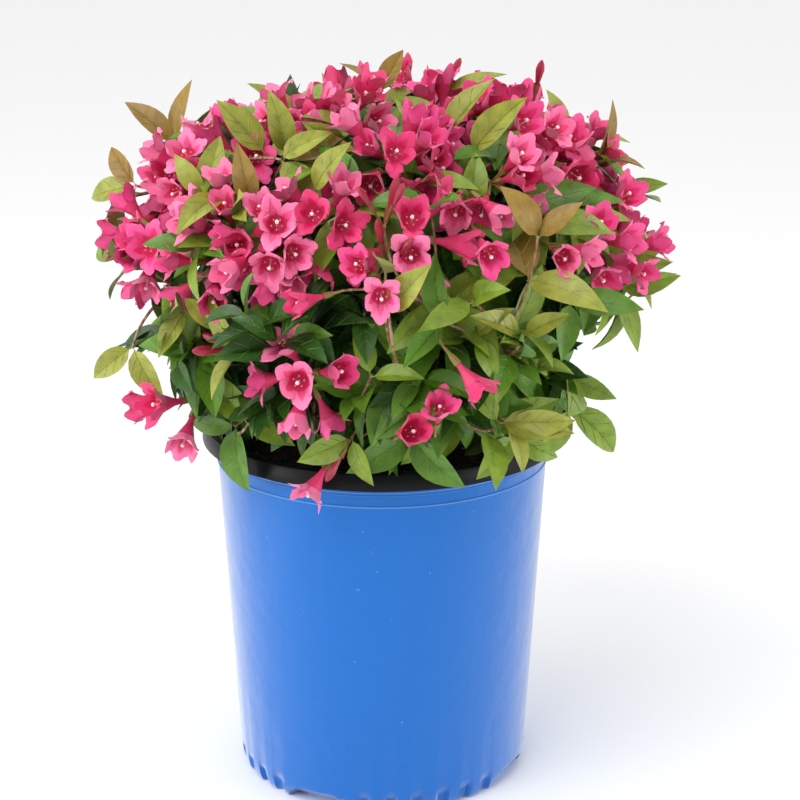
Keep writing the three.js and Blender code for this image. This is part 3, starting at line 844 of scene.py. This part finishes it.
def seen_at(across, down, depth):
    """The point at a place in the frame, on this share of the dome or at this negative y."""
    focal = LENS / SENSOR * FRAME
    ray = AHEAD + BESIDE * ((across - FRAME / 2) / focal) + ABOVE * ((FRAME / 2 - down) / focal)
    if depth < 0:
        return CAMERA + ray * ((depth - CAMERA.y) / ray.y)

    def outside(run):
        away = CAMERA + ray * run - CENTRE
        return away.length - dome_reach(away.normalized()) * depth

    runs = range(1000, 1500)  # distances from the camera, from before the crown to behind it
    run = next((run for run in runs if outside(run) < 0), None) or min(runs, key=outside)
    return CAMERA + ray * run


def spray_line(spray):
    """The way a spray points, and the tip of its shoot, which its flowers stand out past."""
    angle, lean = math.radians(spray.angle), math.radians(spray.lean)
    flat = BESIDE * math.cos(angle) + ABOVE * math.sin(angle)
    way = flat * math.cos(lean) - AHEAD * math.sin(lean)
    past_tip = 15 if spray.flowers > 2 else 10 if spray.flowers else 0
    return way, seen_at(spray.across, spray.down, spray.depth) - way * past_tip


spray_lines = [spray_line(spray) for spray in SPRAYS]
spray_tips = [tip for _, tip in spray_lines]


def clear_of_sprays(point, distance):
    """Whether a point is further than this from the tips of all the sprays."""
    return all((point - tip).length > distance for tip in spray_tips)


def tint_of(point, inner, random):
    """Leaves are younger, and so paler, towards the top and the outside of the crown; inner and lower
    leaves are also given darker tints as painted shade.
    """
    # Partly painted shade: inner leaves start darker, and the tint falls with height.
    youth_and_light = 1 if inner else 1.9
    youth_and_light += 1.3 * (point.z - 330) / 110
    youth_and_light += 2.2 * (random() - 0.5)
    return max(0, min(YOUNGEST, youth_and_light))


def bloom_at(height):
    """Share of the shoots at this height that can flower: those low in the shade hardly do."""
    return max(0.1, min(1, (height - 310) / 40))


def side_shoot(main, at, side, chance, random):
    """A short shoot that leaves a twig at a node and flowers with this chance."""
    along = main.curve.tangent(at)
    root = main.curve.point(at)
    out = (root - CENTRE).normalized()
    sideways = turned_about(level_side(along), along, main.turn + 90 * side)
    way = (along * 0.75 + sideways * 0.65 + out * 0.35 + UP * 0.1).normalized()
    length = 20 + 26 * random()
    curve = Curve(root, root + way * (length * 0.5) + UP * 2.5, root + way * length + UP * 2)
    tint = max(0, min(YOUNGEST, main.tint + 0.8 * (random() - 0.6)))
    blooms = random() <= chance
    flowers = 3 + int(3.6 * random()) if blooms else 0
    buds = int(2.2 * random()) if blooms else 0
    return Shoot("side shoot", curve, [0.3, 0.62, 0.92], 0.88, tint, flowers, buds,
                 random() * 180, random, (main, at))


def grow_twig(mass, direction, point, inner, random):
    """A twig to this tip, with a short shoot at most of its nodes."""
    turn = random() * 180
    alone = clear_of_sprays(point, ALONE)
    share = mass.blossom * bloom_at(point.z)
    blooms = not inner and random() <= share and alone
    flowers = 5 + int(3 * random()) if blooms else 0
    buds = int(2.4 * random()) if blooms else 0
    twig = Shoot("twig", twig_to(mass, direction, point, inner), [0.2, 0.38, 0.56, 0.73, 0.9], 1,
                 tint_of(point, inner, random), flowers, buds, turn, random)
    shoots.append(twig)
    for side, at in enumerate((0.32, 0.5, 0.66, 0.82)):
        if random() < 0.2:
            continue
        chance = share * (0.15 if inner else 0.65 if alone else 0.25)
        shoot = side_shoot(twig, at, side, chance, random)
        if clear_of_sprays(shoot.curve.tip, CLEAR_OF_SPRAYS):
            shoots.append(shoot)


def grow_spray(spray, way, tip, random):
    """A shoot to a spray's place, from the twig or stem that comes nearest to its start."""
    flat_side = (-AHEAD).cross(way)  # so that the last pair of leaves lies flat in the frame
    level = level_side(way)
    turn = math.degrees(math.atan2(way.dot(level.cross(flat_side)), level.dot(flat_side))) % 180
    start = tip - way * SPRAY_LENGTH - (tip - CENTRE).normalized() * 10
    root, holder, at = min(holds, key=lambda hold: (hold[0] - start).length)
    curve = Curve(root, tip - way * ((tip - root).length * 0.5), tip)
    nodes = [0.95, 0.62][:spray.pairs][::-1]
    return Shoot("spray", curve, nodes, 0.97, spray.tint + 0.2, spray.flowers, spray.buds, turn,
                 random, (holder, at) if holder else None)


shoots = []
spread_tips()
for mass in masses:
    for tip in mass.tips:
        grow_twig(mass, *tip)
holds = [(shoot.curve.point(i / 10), shoot, i / 10) for shoot in shoots if shoot.kind == "twig"
         for i in range(1, 8)]
holds += [(mass.curve.point(i / 10), None, 0) for mass in masses for i in range(6, 11)]
shoots += [grow_spray(spray, *line, random_from(7000 + i))
           for i, (spray, line) in enumerate(zip(SPRAYS, spray_lines))]


# ------------------------------------------------------------------------------------ the flowers
# Trumpets of one corolla each: a slim tube that widens to the throat, then five broad rounded
# lobes with a deeper streak along each. A pale stigma and five rosy anthers stand in the mouth, and
# a small olive calyx holds the tube on its stalk. They grow in bunches at the tips of the shoots.

THROAT_AT = 17.5
THROAT_RADIUS = 5
LOBES = 5
LOBE_LENGTH = 11.5
LOBE_WIDTH = 10.6


def add_lens(bm, across, along, shape):
    """Adds a closed thin sheet: two skins that meet at the rim.

    shape gives a point from its share across, -1 to 1, its share along, and 1 on the lower skin."""
    upper = bmesh.ops.create_grid(bm, x_segments=across, y_segments=along, size=0.5)["verts"]
    rim = {vert for vert in upper if vert.is_boundary}
    parts = {part for vert in upper for part in (*vert.link_edges, *vert.link_faces)}
    copy = bmesh.ops.duplicate(bm, geom=upper + list(parts))
    turned = [part for part in copy["geom"] if isinstance(part, bmesh.types.BMFace)]
    bmesh.ops.reverse_faces(bm, faces=turned)
    lower = [copy["vert_map"][vert] for vert in upper]
    for vert, twin in zip(upper, lower):
        share, at = vert.co.x * 2, vert.co.y + 0.5
        vert.co = shape(share, at, 0)
        twin.co = vert.co if vert in rim else shape(share, at, 1)
    bmesh.ops.remove_doubles(bm, verts=upper + lower, dist=1e-4)


def lobe_half_width(at):
    """Half the width of a lobe of width 1, at a share of its length."""
    return 0.5 * (0.64 + 0.78 * at - 0.66 * at ** 2.4)


def corolla(start, arch, reach, breadth, lift, thick, cells):
    """The lobes round the throat, which leave it at start degrees and arch out by arch degrees.

    Smaller reach and breadth give the streak of deeper colour that lies on each lobe."""
    bm = bmesh.new()
    for i in range(LOBES):
        own_start = math.radians(start * (1 + 0.6 * math.cos(i * 2.4)))
        own_arch = math.radians(arch * (1 + 0.55 * math.cos(i * 2.1 + 1)))
        turn = Matrix.Rotation(i * 2 * math.pi / LOBES, 3, "Y")

        def shape(share, at, under):
            share, at = share * breadth * (1 - at ** 2 * (breadth < 1)), at * reach
            x = share * lobe_half_width(at) * LOBE_WIDTH
            run = (at - 0.4 * share ** 2 * at ** 3) * LOBE_LENGTH
            height = (1.5 * (1 - at) - 1.1 * at ** 2) * share ** 2 + lift - thick * under
            height += 0.55 * math.sin(5 * at + 1.9 * i) * share * at
            bent = own_arch * run / LOBE_LENGTH
            along = LOBE_LENGTH * math.sin(bent) / own_arch + height * math.sin(bent)
            above = -LOBE_LENGTH * (1 - math.cos(bent)) / own_arch + height * math.cos(bent)
            y = along * math.cos(own_start) + above * math.sin(own_start)
            z = above * math.cos(own_start) - along * math.sin(own_start)
            return turn @ Vector((x, y + THROAT_AT - 0.5, z - THROAT_RADIUS + 0.15))

        add_lens(bm, cells, cells, shape)
    return template_of(bm)


def turned_along_y(profile, steps):
    """The template of a small body of revolution about +Y, from [radius, along] points."""
    bm = spun(profile, steps)
    bmesh.ops.rotate(bm, verts=bm.verts, cent=(0, 0, 0), matrix=Matrix.Rotation(-math.pi / 2, 3, "X"))
    return template_of(bm)


tube = turned_along_y(
    [(0, 0), (0.9, 0.4), (1.2, 5), (2.0, 9.5), (3.5, 13.5), (THROAT_RADIUS, THROAT_AT),
     (THROAT_RADIUS - 0.2, THROAT_AT - 0.2), (3.4, 14.5), (0, 12)], 10)
calyx = turned_along_y(
    [(0, -7), (0.75, -6.5), (0.95, -1.5), (1.6, 0.6), (2.1, 5.5), (1.0, 3.5), (0, 3)], 5)
stigma = turned_along_y(
    [(0, 10), (0.35, 10.5), (0.3, 20.6), (1.05, 21.2), (1.05, 22.2), (0, 22.8)], 5)
bud = turned_along_y(
    [(0, 0), (0.8, 0.3), (1.1, 5), (2.0, 10.5), (2.6, 14.5), (2.0, 18), (0.7, 20.2), (0, 20.6)], 7)

ANTHER_AT = 16.6
ANTHER_RING = 2.6  # their distance from the middle of the mouth
anther_bm = bmesh.new()
for i in range(LOBES):
    cone = bmesh.ops.create_cone(anther_bm, cap_ends=True, segments=4, radius1=0.2, radius2=0.5, depth=3)
    lift = Matrix.Translation((0, ANTHER_AT, 0)) @ Matrix.Rotation(i * 2 * math.pi / LOBES + 0.6, 4, "Y")
    lift = lift @ Matrix.Translation((ANTHER_RING, 0, 0)) @ Matrix.Rotation(-math.pi / 2, 4, "X")
    bmesh.ops.transform(anther_bm, matrix=lift, verts=cone["verts"])
anthers = template_of(anther_bm)

# Gaps at the flanks that no twig has grown into: x, z and radius.
GAPS = [
    (-152, 368, 16),
    (-150, 300, 18),
    (-142, 262, 16),
    (140, 272, 26),
    (148, 302, 17),
    (176, 352, 20),
]
PAST_DOME = 27  # how far leaves and flowers may stand out of it
PAST_TOP = PAST_DOME / 2  # and where they are more than 70 mm above its centre
WIDEST = 198  # bounds of the shoots that stand out of the crown
HIGHEST = 474


def clear_of_pot(x, y, z):
    """Whether a point is above the pot, outside it, or inside it above the mix."""
    if z >= POT_HEIGHT + 1.5:
        return True
    flat = math.hypot(x, y)
    outside = flat > (LIP_RADIUS + 1.5 if z > LIP_FOOT - 2 else wall_radius(z) + 2)
    inside = flat < wall_radius(z) - 4 and z > MIX_LEVEL + 1.5
    return outside or inside


def in_the_open(points, stands_out):
    """Whether these points of a leaf or flower keep off the pot, and near enough to the crown."""
    for x, y, z in points:
        if not clear_of_pot(x, y, z):
            return False
        if stands_out:
            if not (abs(x) < WIDEST and abs(y) < WIDEST and z < HIGHEST):
                return False
            continue
        away = Vector((x, y, z)) - CENTRE
        if away.length > dome_reach(away.normalized()) + (PAST_TOP if away.z > 70 else PAST_DOME):
            return False
        if any(math.hypot(x - gap_x, z - gap_z) < radius for gap_x, gap_z, radius in GAPS):
            return False
    return True


def too_near(point, others, distance):
    """Whether a point is nearer than this to any of the others."""
    return any((point - other).length_squared < distance ** 2 for other in others)


Flower = namedtuple("Flower", "root way face size tint state", defaults=(None, None))
STATES = [  # how far open: name, start and arch of the lobes, share of the flowers so far
    ("wide", 22, 50, 0.2),
    ("open", 13, 34, 0.62),
    ("young", 5, 16, 1),
]
PETAL_TINTS = [
    ("pale_rose", (0.88, 0.165, 0.36)),
    ("rose", (0.8, 0.058, 0.25)),
    ("hot_pink", (0.69, 0.02, 0.145)),
]
GOLDEN_ANGLE = 137.5
BELL_LENGTH = 24
MOUTH_CLEAR = 10  # between the mouths of two flowers
MOUTH_CLOSE = 7.5  # in the bunches that stand out
flowers = []
buds = []
mouths = []
bells = []  # points in the flowers' mouths that leaves keep clear of
stalks = []


def place_for(shoot, tip, mean, start, i):
    """A root, way, size, side and stalk for a flower where it has room, in three tries, or None."""
    random = shoot.random
    count = shoot.flowers + shoot.buds
    for attempt in range(3):
        side = turned_about(level_side(mean), mean, start + (i + attempt * 0.35) * GOLDEN_ANGLE)
        wide_open = math.radians(10 + 68 * math.sqrt((i + 0.4) / (count + 1)))
        wide_open *= min(1, 0.15 + count / 6) * (1 + 0.25 * attempt)
        way = mean * math.cos(wide_open) + side * math.sin(wide_open)
        way = (way + Vector([0.6 * (random() - 0.5) for _ in range(3)])).normalized()
        stalk = 4 + 8 * random()
        size = 0.97 + 0.24 * random()
        root = tip + way * stalk
        mouth = root + way * (BELL_LENGTH * size)
        wide = level_side(way) * 9
        spread = (mouth, root + way * (12 * size), mouth + wide, mouth - wide, mouth - UP * 8)
        clear = MOUTH_CLOSE if shoot.stands_out else MOUTH_CLEAR
        if in_the_open(spread, shoot.stands_out) and not too_near(mouth, mouths, clear):
            return root, way, size, side, stalk
    return None


def blossom(shoot):
    """Adds the bunch at a shoot's tip: its flowers, then its buds."""
    random = shoot.random
    tip = shoot.curve.point(0.98)
    along = shoot.curve.tangent(1)
    outward = (tip - CENTRE).normalized()
    mean = along if shoot.stands_out else (along * 0.5 + outward * 0.8 + UP * 0.05).normalized()
    start = random() * 360
    bunch_tint = int(random() * len(PETAL_TINTS))
    for i in range(shoot.flowers + shoot.buds):
        found = place_for(shoot, tip, mean, start, i)
        if not found:
            continue
        root, way, size, side, stalk = found
        mouths.append(root + way * (BELL_LENGTH * size))
        bells.extend([mouths[-1], root + way * (15 * size)])
        shoot.end = 1
        stalks.append([(tip - along * 2, 0.55), (tip + way * (stalk * 0.5) + mean * 1.2, 0.5),
                       (root, 0.6)])
        face = UP + side * 0.3 + outward * 0.2 + Vector([random() - 0.5 for _ in range(3)])
        face.normalize()
        if i >= shoot.flowers:
            buds.append(Flower(root, way, face, size * (0.75 + 0.3 * random())))
            continue
        draw = random()
        state = next(rank for rank, row in enumerate(STATES) if draw <= row[3])
        tint = (bunch_tint + (random() < 0.25)) % len(PETAL_TINTS)
        flowers.append(Flower(root, way, face, size, tint, state))


for shoot in sorted(shoots, key=lambda shoot: not shoot.stands_out):
    blossom(shoot)

# The fine unevenness of living tissue: a mottle of the colour and a grain of small cells.
tissue, given, gives = node_group(
    "living_tissue", {"Color": (0, 0, 0, 1), "Amount": 0.2, "Roughness": 0.4}, "Roughness", "Height")
mottle = add_range(tissue, add_noise(tissue, 130, 3), 0.3, 0.7, -1, 1)
cells = add_noise(tissue, 700, 2)
shade = tissue.nodes.new("ShaderNodeMath")
shade.operation = "MULTIPLY_ADD"
shade.inputs[2].default_value = 1
tissue.links.new(mottle, shade.inputs[0])
tissue.links.new(given.outputs["Amount"], shade.inputs[1])
shaded_color = tissue.nodes.new("ShaderNodeVectorMath")
shaded_color.operation = "SCALE"
tissue.links.new(given.outputs["Color"], shaded_color.inputs[0])
tissue.links.new(shade.outputs["Value"], shaded_color.inputs["Scale"])
gloss = add_sum(tissue, given.outputs["Roughness"], add_range(tissue, cells, 0.3, 0.7, -0.06, 0.06))
tissue.links.new(shaded_color.outputs["Vector"], gives.inputs["Color"])
tissue.links.new(gloss, gives.inputs["Roughness"])
tissue.links.new(cells, gives.inputs["Height"])


def living(name, color, roughness, amount, depth, **sockets):
    """A leaf's or petal's finish, with its cells this many metres deep."""
    material = finish(name, color, roughness, **sockets)
    return surfaced(material, tissue, depth, Color=color, Roughness=roughness, Amount=amount)


def foliage(made):
    """Lets a joined piece stand for its part of the masses of foliage."""
    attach(made, "root")
    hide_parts(*FOLIAGE_NODES)


def set_in_place(coords, rows):
    """Turns each copy so that +Y points its way and +Z faces out, and moves it to its root."""
    roots = np.array([row.root[:] for row in rows])
    ways = np.array([row.way[:] for row in rows])
    across = np.cross(ways, np.array([row.face[:] for row in rows]))
    across /= np.linalg.norm(across, axis=1, keepdims=True)
    frames = np.stack([across, ways, np.cross(across, ways)], axis=1)
    return np.einsum("npk,nkj->npj", coords, frames) + roots[:, None, :]


def bloom(name, template, rows, material):
    """One kind of part of these flowers, joined."""
    points, faces = template
    sizes = np.array([row.size for row in rows])
    coords = set_in_place(points[None] * sizes[:, None, None], rows)
    foliage(joined(name, faces, coords, material))


deep_pink = living("deep_pink", (0.64, 0.03, 0.13), 0.5, 0.15, 0.00005)
petals = [living("petal_" + name, color, 0.5, 0.12, 0.00008, Sheen_Weight=0.3, Sheen_Roughness=0.5)
          for name, color in PETAL_TINTS]
streaks = [living("streak_" + name, (0.92 * red, 0.5 * green, 0.7 * blue), 0.5, 0.15, 0.00005)
           for name, (red, green, blue) in PETAL_TINTS]
bloom("flower_tubes", tube, flowers, deep_pink)
for state, (state_name, start, arch, _) in enumerate(STATES):
    hearts = corolla(start, arch, 0.6, 0.5, 0.1, 0.1, 3)
    lobes = corolla(start, arch, 1, 1, 0, 0.4, 4)
    for tint, (tint_name, _) in enumerate(PETAL_TINTS):
        rows = [flower for flower in flowers if flower.state == state and flower.tint == tint]
        bloom("petal_hearts_" + state_name + "_" + tint_name, hearts, rows, streaks[tint])
        bloom("petals_" + state_name + "_" + tint_name, lobes, rows, petals[tint])
bloom("stigmas", stigma, flowers, living("stigma", (0.88, 0.76, 0.72), 0.4, 0.03, 0.00002))
bloom("anthers", anthers, flowers, living("anther", (0.75, 0.22, 0.24), 0.6, 0.1, 0.00002))
bloom("calyxes", calyx, flowers, living("calyx", (0.24, 0.16, 0.035), 0.5, 0.15, 0.00005))
bloom("dark_buds", bud, buds, living("bud", (0.3, 0.006, 0.03), 0.4, 0.15, 0.00005))
bloom("bud_calyxes", calyx, buds, living("bud_calyx", (0.2, 0.06, 0.02), 0.5, 0.15, 0.00005))


# ------------------------------------------------------------------------------------- the leaves
# Leaves stand in pairs, each pair square to the last. A blade is ovate with a drawn-out point, folded
# along its midrib, puckered between its side veins, and arches over. Its underside is paler. Old leaves
# are deep green, and the newest are yellow-green to bronze; leaves inside the crown and low in it are
# given the darker tints as painted shade.

LEAF_LENGTH = 44
LEAF_WIDTH = 19
LEAF_FOLD = 0.36
LEAF_STALK = 2.5
SIDE_VEINS = (0.12, 0.32, 0.52)  # where they leave the midrib, as shares of its length
VEIN_RISE = 0.19  # how much further along they end
BELL_CLEAR = 9.5  # between a leaf and a flower's mouth


def leaf_half_width(at):
    """Half the width of a blade of width 1, at a share of its length."""
    return 0.5 * 3.58 * max(0, at) ** 0.75 * max(0, 1 - at) ** 1.15


def blade(across, along, height, thick, pucker):
    """A leaf's blade of length and width 1, its upper skin this high above the midrib."""

    def shape(share, at, under):
        half = leaf_half_width(at)
        between = pucker * (1 - abs(abs(share) * 2 - 1)) * min(1, 5 * at * (1 - at))
        ripple = between * (1 if round(at * along) % 2 else -1)
        return Vector((share * half, at, LEAF_FOLD * abs(share) * half + ripple + height - thick * under))

    bm = bmesh.new()
    add_lens(bm, across, along, shape)
    bmesh.ops.dissolve_degenerate(bm, dist=1e-6, edges=bm.edges)
    return template_of(bm)


def add_rod(bm, start, end, r0, r1, cuts):
    """Adds a thin three-sided rod between two points, with cuts where it can bend."""
    way = end - start
    rod = bmesh.ops.create_cone(bm, cap_ends=True, segments=3, radius1=r0, radius2=r1, depth=way.length)
    verts = rod["verts"]
    turn = way.to_track_quat("Z", "Y").to_matrix().to_4x4()
    bmesh.ops.transform(bm, matrix=Matrix.Translation((start + end) / 2) @ turn, verts=verts)
    edges = {edge for vert in verts for edge in vert.link_edges}
    long = [edge for edge in edges if edge.calc_length() > way.length * 0.9]
    bmesh.ops.subdivide_edges(bm, edges=long, cuts=cuts)


def veins(height):
    """The midrib with its stalk and the side veins, for a blade of length and width 1."""
    bm = bmesh.new()
    add_rod(bm, Vector((0, -0.09, height)), Vector((0, 0.97, height)), 0.026, 0.008, 5)
    for low in SIDE_VEINS:
        high = low + VEIN_RISE
        reach = 0.8 * leaf_half_width(high)
        for side in (-1, 1):
            end = Vector((side * reach, high, LEAF_FOLD * reach + height))
            add_rod(bm, Vector((0, low, height)), end, 0.012, 0.005, 1)
    return template_of(bm)


Leaf = namedtuple("Leaf", "root way face length width arch fold tint")


def arched(points, rows):
    """Copies of a part of a leaf, each sized, folded and arched over along its length."""
    length, width, arch, fold = (np.array([[getattr(row, size)] for row in rows])
                                 for size in ("length", "width", "arch", "fold"))
    x = points[None, :, 0] * width
    z = points[None, :, 2] * width * fold
    turn = arch * points[None, :, 1]
    y = length * np.sin(turn) / arch + z * np.sin(turn)
    up = -length * (1 - np.cos(turn)) / arch + z * np.cos(turn)
    return np.stack([x, y, up], axis=2)


def leaf_facing(shoot, way, along, outward):
    """The side that a leaf shows: upwards and outwards, and forwards where the shoot stands out."""
    face = along * 0.5 + UP * 0.8 + outward * 0.35
    if shoot.stands_out:
        face = along * 0.3 + UP * 0.4 + outward * 0.35 + Vector((0, -0.35, 0))
    face.normalize()
    tilt = math.radians(50 * (shoot.random() - 0.5))
    face.rotate(Matrix.Rotation(tilt, 3, way))
    return face


def leaf_on(shoot, i, half):
    """A leaf at a shoot's node, on one side or the other, where it has room in four tries."""
    random = shoot.random
    at = shoot.nodes[i]
    pairs_past = len(shoot.nodes) - 1 - i
    along = shoot.curve.tangent(at)
    root = shoot.curve.point(at)
    outward = (root - CENTRE).normalized()
    for attempt in range(4):
        swing = 28 * attempt * (1 if attempt % 2 else -1) + 16 * (random() - 0.5)
        side = turned_about(level_side(along), along, shoot.turn + 90 * pairs_past + half + swing)
        open_angle = 62 if pairs_past else 34 if shoot.tint > 3 else 48
        open_angle = math.radians(open_angle + 18 * (random() - 0.5))
        way = along * math.cos(open_angle) + side * math.sin(open_angle)
        way = (way + outward * 0.2 - UP * 0.1).normalized()
        face = leaf_facing(shoot, way, along, outward)
        grows = shoot.size * (0.76 + 0.44 * random()) * (1 if pairs_past else 0.86)
        arch = math.radians(15 + 55 * random())
        length = LEAF_LENGTH * grows
        near, middle, far, tip = (root + way * (length * share) - UP * (length * arch * sag)
                                  for share, sag in ((0.3, 0), (0.5, 0.1), (0.75, 0.2), (0.92, 0.28)))
        crowded = any(too_near(spot, bells, BELL_CLEAR) for spot in (near, middle, far, tip))
        if in_the_open((tip, middle), shoot.stands_out) and not crowded:
            tint = shoot.tint - 0.5 * pairs_past + 0.6 * (random() - 0.5)
            width = LEAF_WIDTH * grows * (0.86 + 0.26 * random())
            return Leaf(root + way * LEAF_STALK, way, face, length, width, arch,
                        0.6 + 0.9 * random(), min(YOUNGEST, max(0, round(tint))))
    return None


leaves = []
for shoot in shoots:
    for i, at in enumerate(shoot.nodes):
        for half in (0, 180):
            leaf = leaf_on(shoot, i, half)
            if leaf:
                leaves.append(leaf)
                shoot.end = max(shoot.end, at + 0.02)

LEAF_TINTS = [
    # deep_green is darker than old leaves are: partly painted shade for the leaves inside the crown.
    ("deep_green", (0.022, 0.082, 0.005)),
    ("mid_green", (0.085, 0.205, 0.01)),
    ("fresh_green", (0.19, 0.29, 0.022)),
    ("yellow_green", (0.28, 0.3, 0.035)),
    ("bronze_green", (0.28, 0.165, 0.024)),
]
LEAF_PARTS = [  # name, template, share of the leaf's colour and what is added to it, roughness
    ("leaves", blade(4, 8, 0, 0.006, 0.009), 1, (0, 0, 0), 0.42),
    ("undersides", blade(2, 6, -0.008, 0.006, 0), 0.6, (0.11, 0.15, 0.075), 0.62),
    ("veins", veins(0.008), 0.8, (0.09, 0.13, 0.03), 0.5),
]
for tint, (tint_name, color) in enumerate(LEAF_TINTS):
    rows = [leaf for leaf in leaves if leaf.tint == tint]
    for part, (points, faces), share, paler, roughness in LEAF_PARTS:
        name = part + "_" + tint_name
        own_color = tuple(share * level + more for level, more in zip(color, paler))
        material = living(name, own_color, roughness, 0.2, 0.0001)
        made = joined(name, faces, set_in_place(arched(points, rows), rows), material)
        foliage(made)


# ---------------------------------------------------------------------------- the wood of the crown
# The stems, twigs and side shoots that carry the flowers and leaves, each no longer than to the
# last thing that grows on it. Wood that is a year old is tan, and this year's is green, flushed
# with red.

STEM_TIP = 1.8
stem_lines = [limb_line(mass.curve, mass.fork, 1, BOUGH_THIN, STEM_TIP, 18) for mass in masses]
stems = tubes("stems", stem_lines, old_bark, 10)
relief(stems, 0.35, 800)
foliage(stems)

for shoot in reversed(shoots):
    if shoot.held_by and shoot.end:
        holder, at = shoot.held_by
        holder.end = max(holder.end, at)
grown = [shoot for shoot in shoots if shoot.end]

tan_bark = mottled("tan_bark", grain, (0.19, 0.09, 0.045), (0.5, 0.34, 0.19), 0.7, 0.0002)
twig_lines = [limb_line(shoot.curve, 0, shoot.end, shoot.radius * 1.15, shoot.radius * 0.75, 12)
              for shoot in grown if shoot.kind != "side shoot"]
foliage(tubes("tan_twigs", twig_lines, tan_bark, 8))

green_bark = mottled("green_bark", grain, (0.24, 0.07, 0.03), (0.27, 0.29, 0.07), 0.55, 0.0001)
shoot_lines = [limb_line(shoot.curve, 0, shoot.end, shoot.radius, shoot.radius * 0.75, 8)
               for shoot in grown if shoot.kind == "side shoot"]
foliage(tubes("green_shoots", shoot_lines, green_bark, 6))
foliage(tubes("flower_stalks", stalks, green_bark, 6))


# ---------------------------------------------------------------------------- studio and camera
# A plain pale floor in a white room that is darker behind the camera, a soft key light with a
# panel on either side, and the camera a little above the crown.

floor_bm = bmesh.new()
bmesh.ops.create_circle(floor_bm, cap_ends=True, segments=64, radius=9000)
floor = piece("floor", floor_bm, finish("floor_paper", (0.93, 0.93, 0.93), 0.9))

world = bpy.data.worlds.new("studio")
world.use_nodes = True
room = world.node_tree
facing = room.nodes.new("ShaderNodeTexCoord")
parts = room.nodes.new("ShaderNodeSeparateXYZ")
room.links.new(facing.outputs["Generated"], parts.inputs["Vector"])
room.nodes["Background"].inputs["Color"].default_value = (1, 1, 1, 1)
brightness = add_range(room, parts.outputs["Y"], -0.9, -0.1, 0.3, 1.1)
room.links.new(brightness, room.nodes["Background"].inputs["Strength"])
bpy.context.scene.world = world

LIGHTS = [  # name, place and size in metres, watts
    ("key_light", (-0.7, -1.1, 1.7), 1.4, 22),
    ("left_panel", (-1.7, -0.7, 0.35), 0.9, 12),
    ("right_panel", (1.7, -0.7, 0.35), 0.9, 12),
]
LIT_POINT = Vector((0, 0, 0.25))
for name, place, size, watts in LIGHTS:
    light = bpy.data.lights.new(name, "AREA")
    light.energy = watts
    light.size = size
    lamp = linked(name, light)
    lamp.location = place
    lamp.rotation_euler = (LIT_POINT - lamp.location).to_track_quat("-Z", "Y").to_euler()

optics = bpy.data.cameras.new("camera")
optics.sensor_width = SENSOR
optics.lens = LENS
camera = linked("camera", optics)
camera.location = CAMERA * MM
camera.rotation_euler = (math.pi / 2 - CAMERA_TILT, 0, 0)
bpy.context.scene.camera = camera
bpy.context.scene.view_settings.view_transform = "Standard"
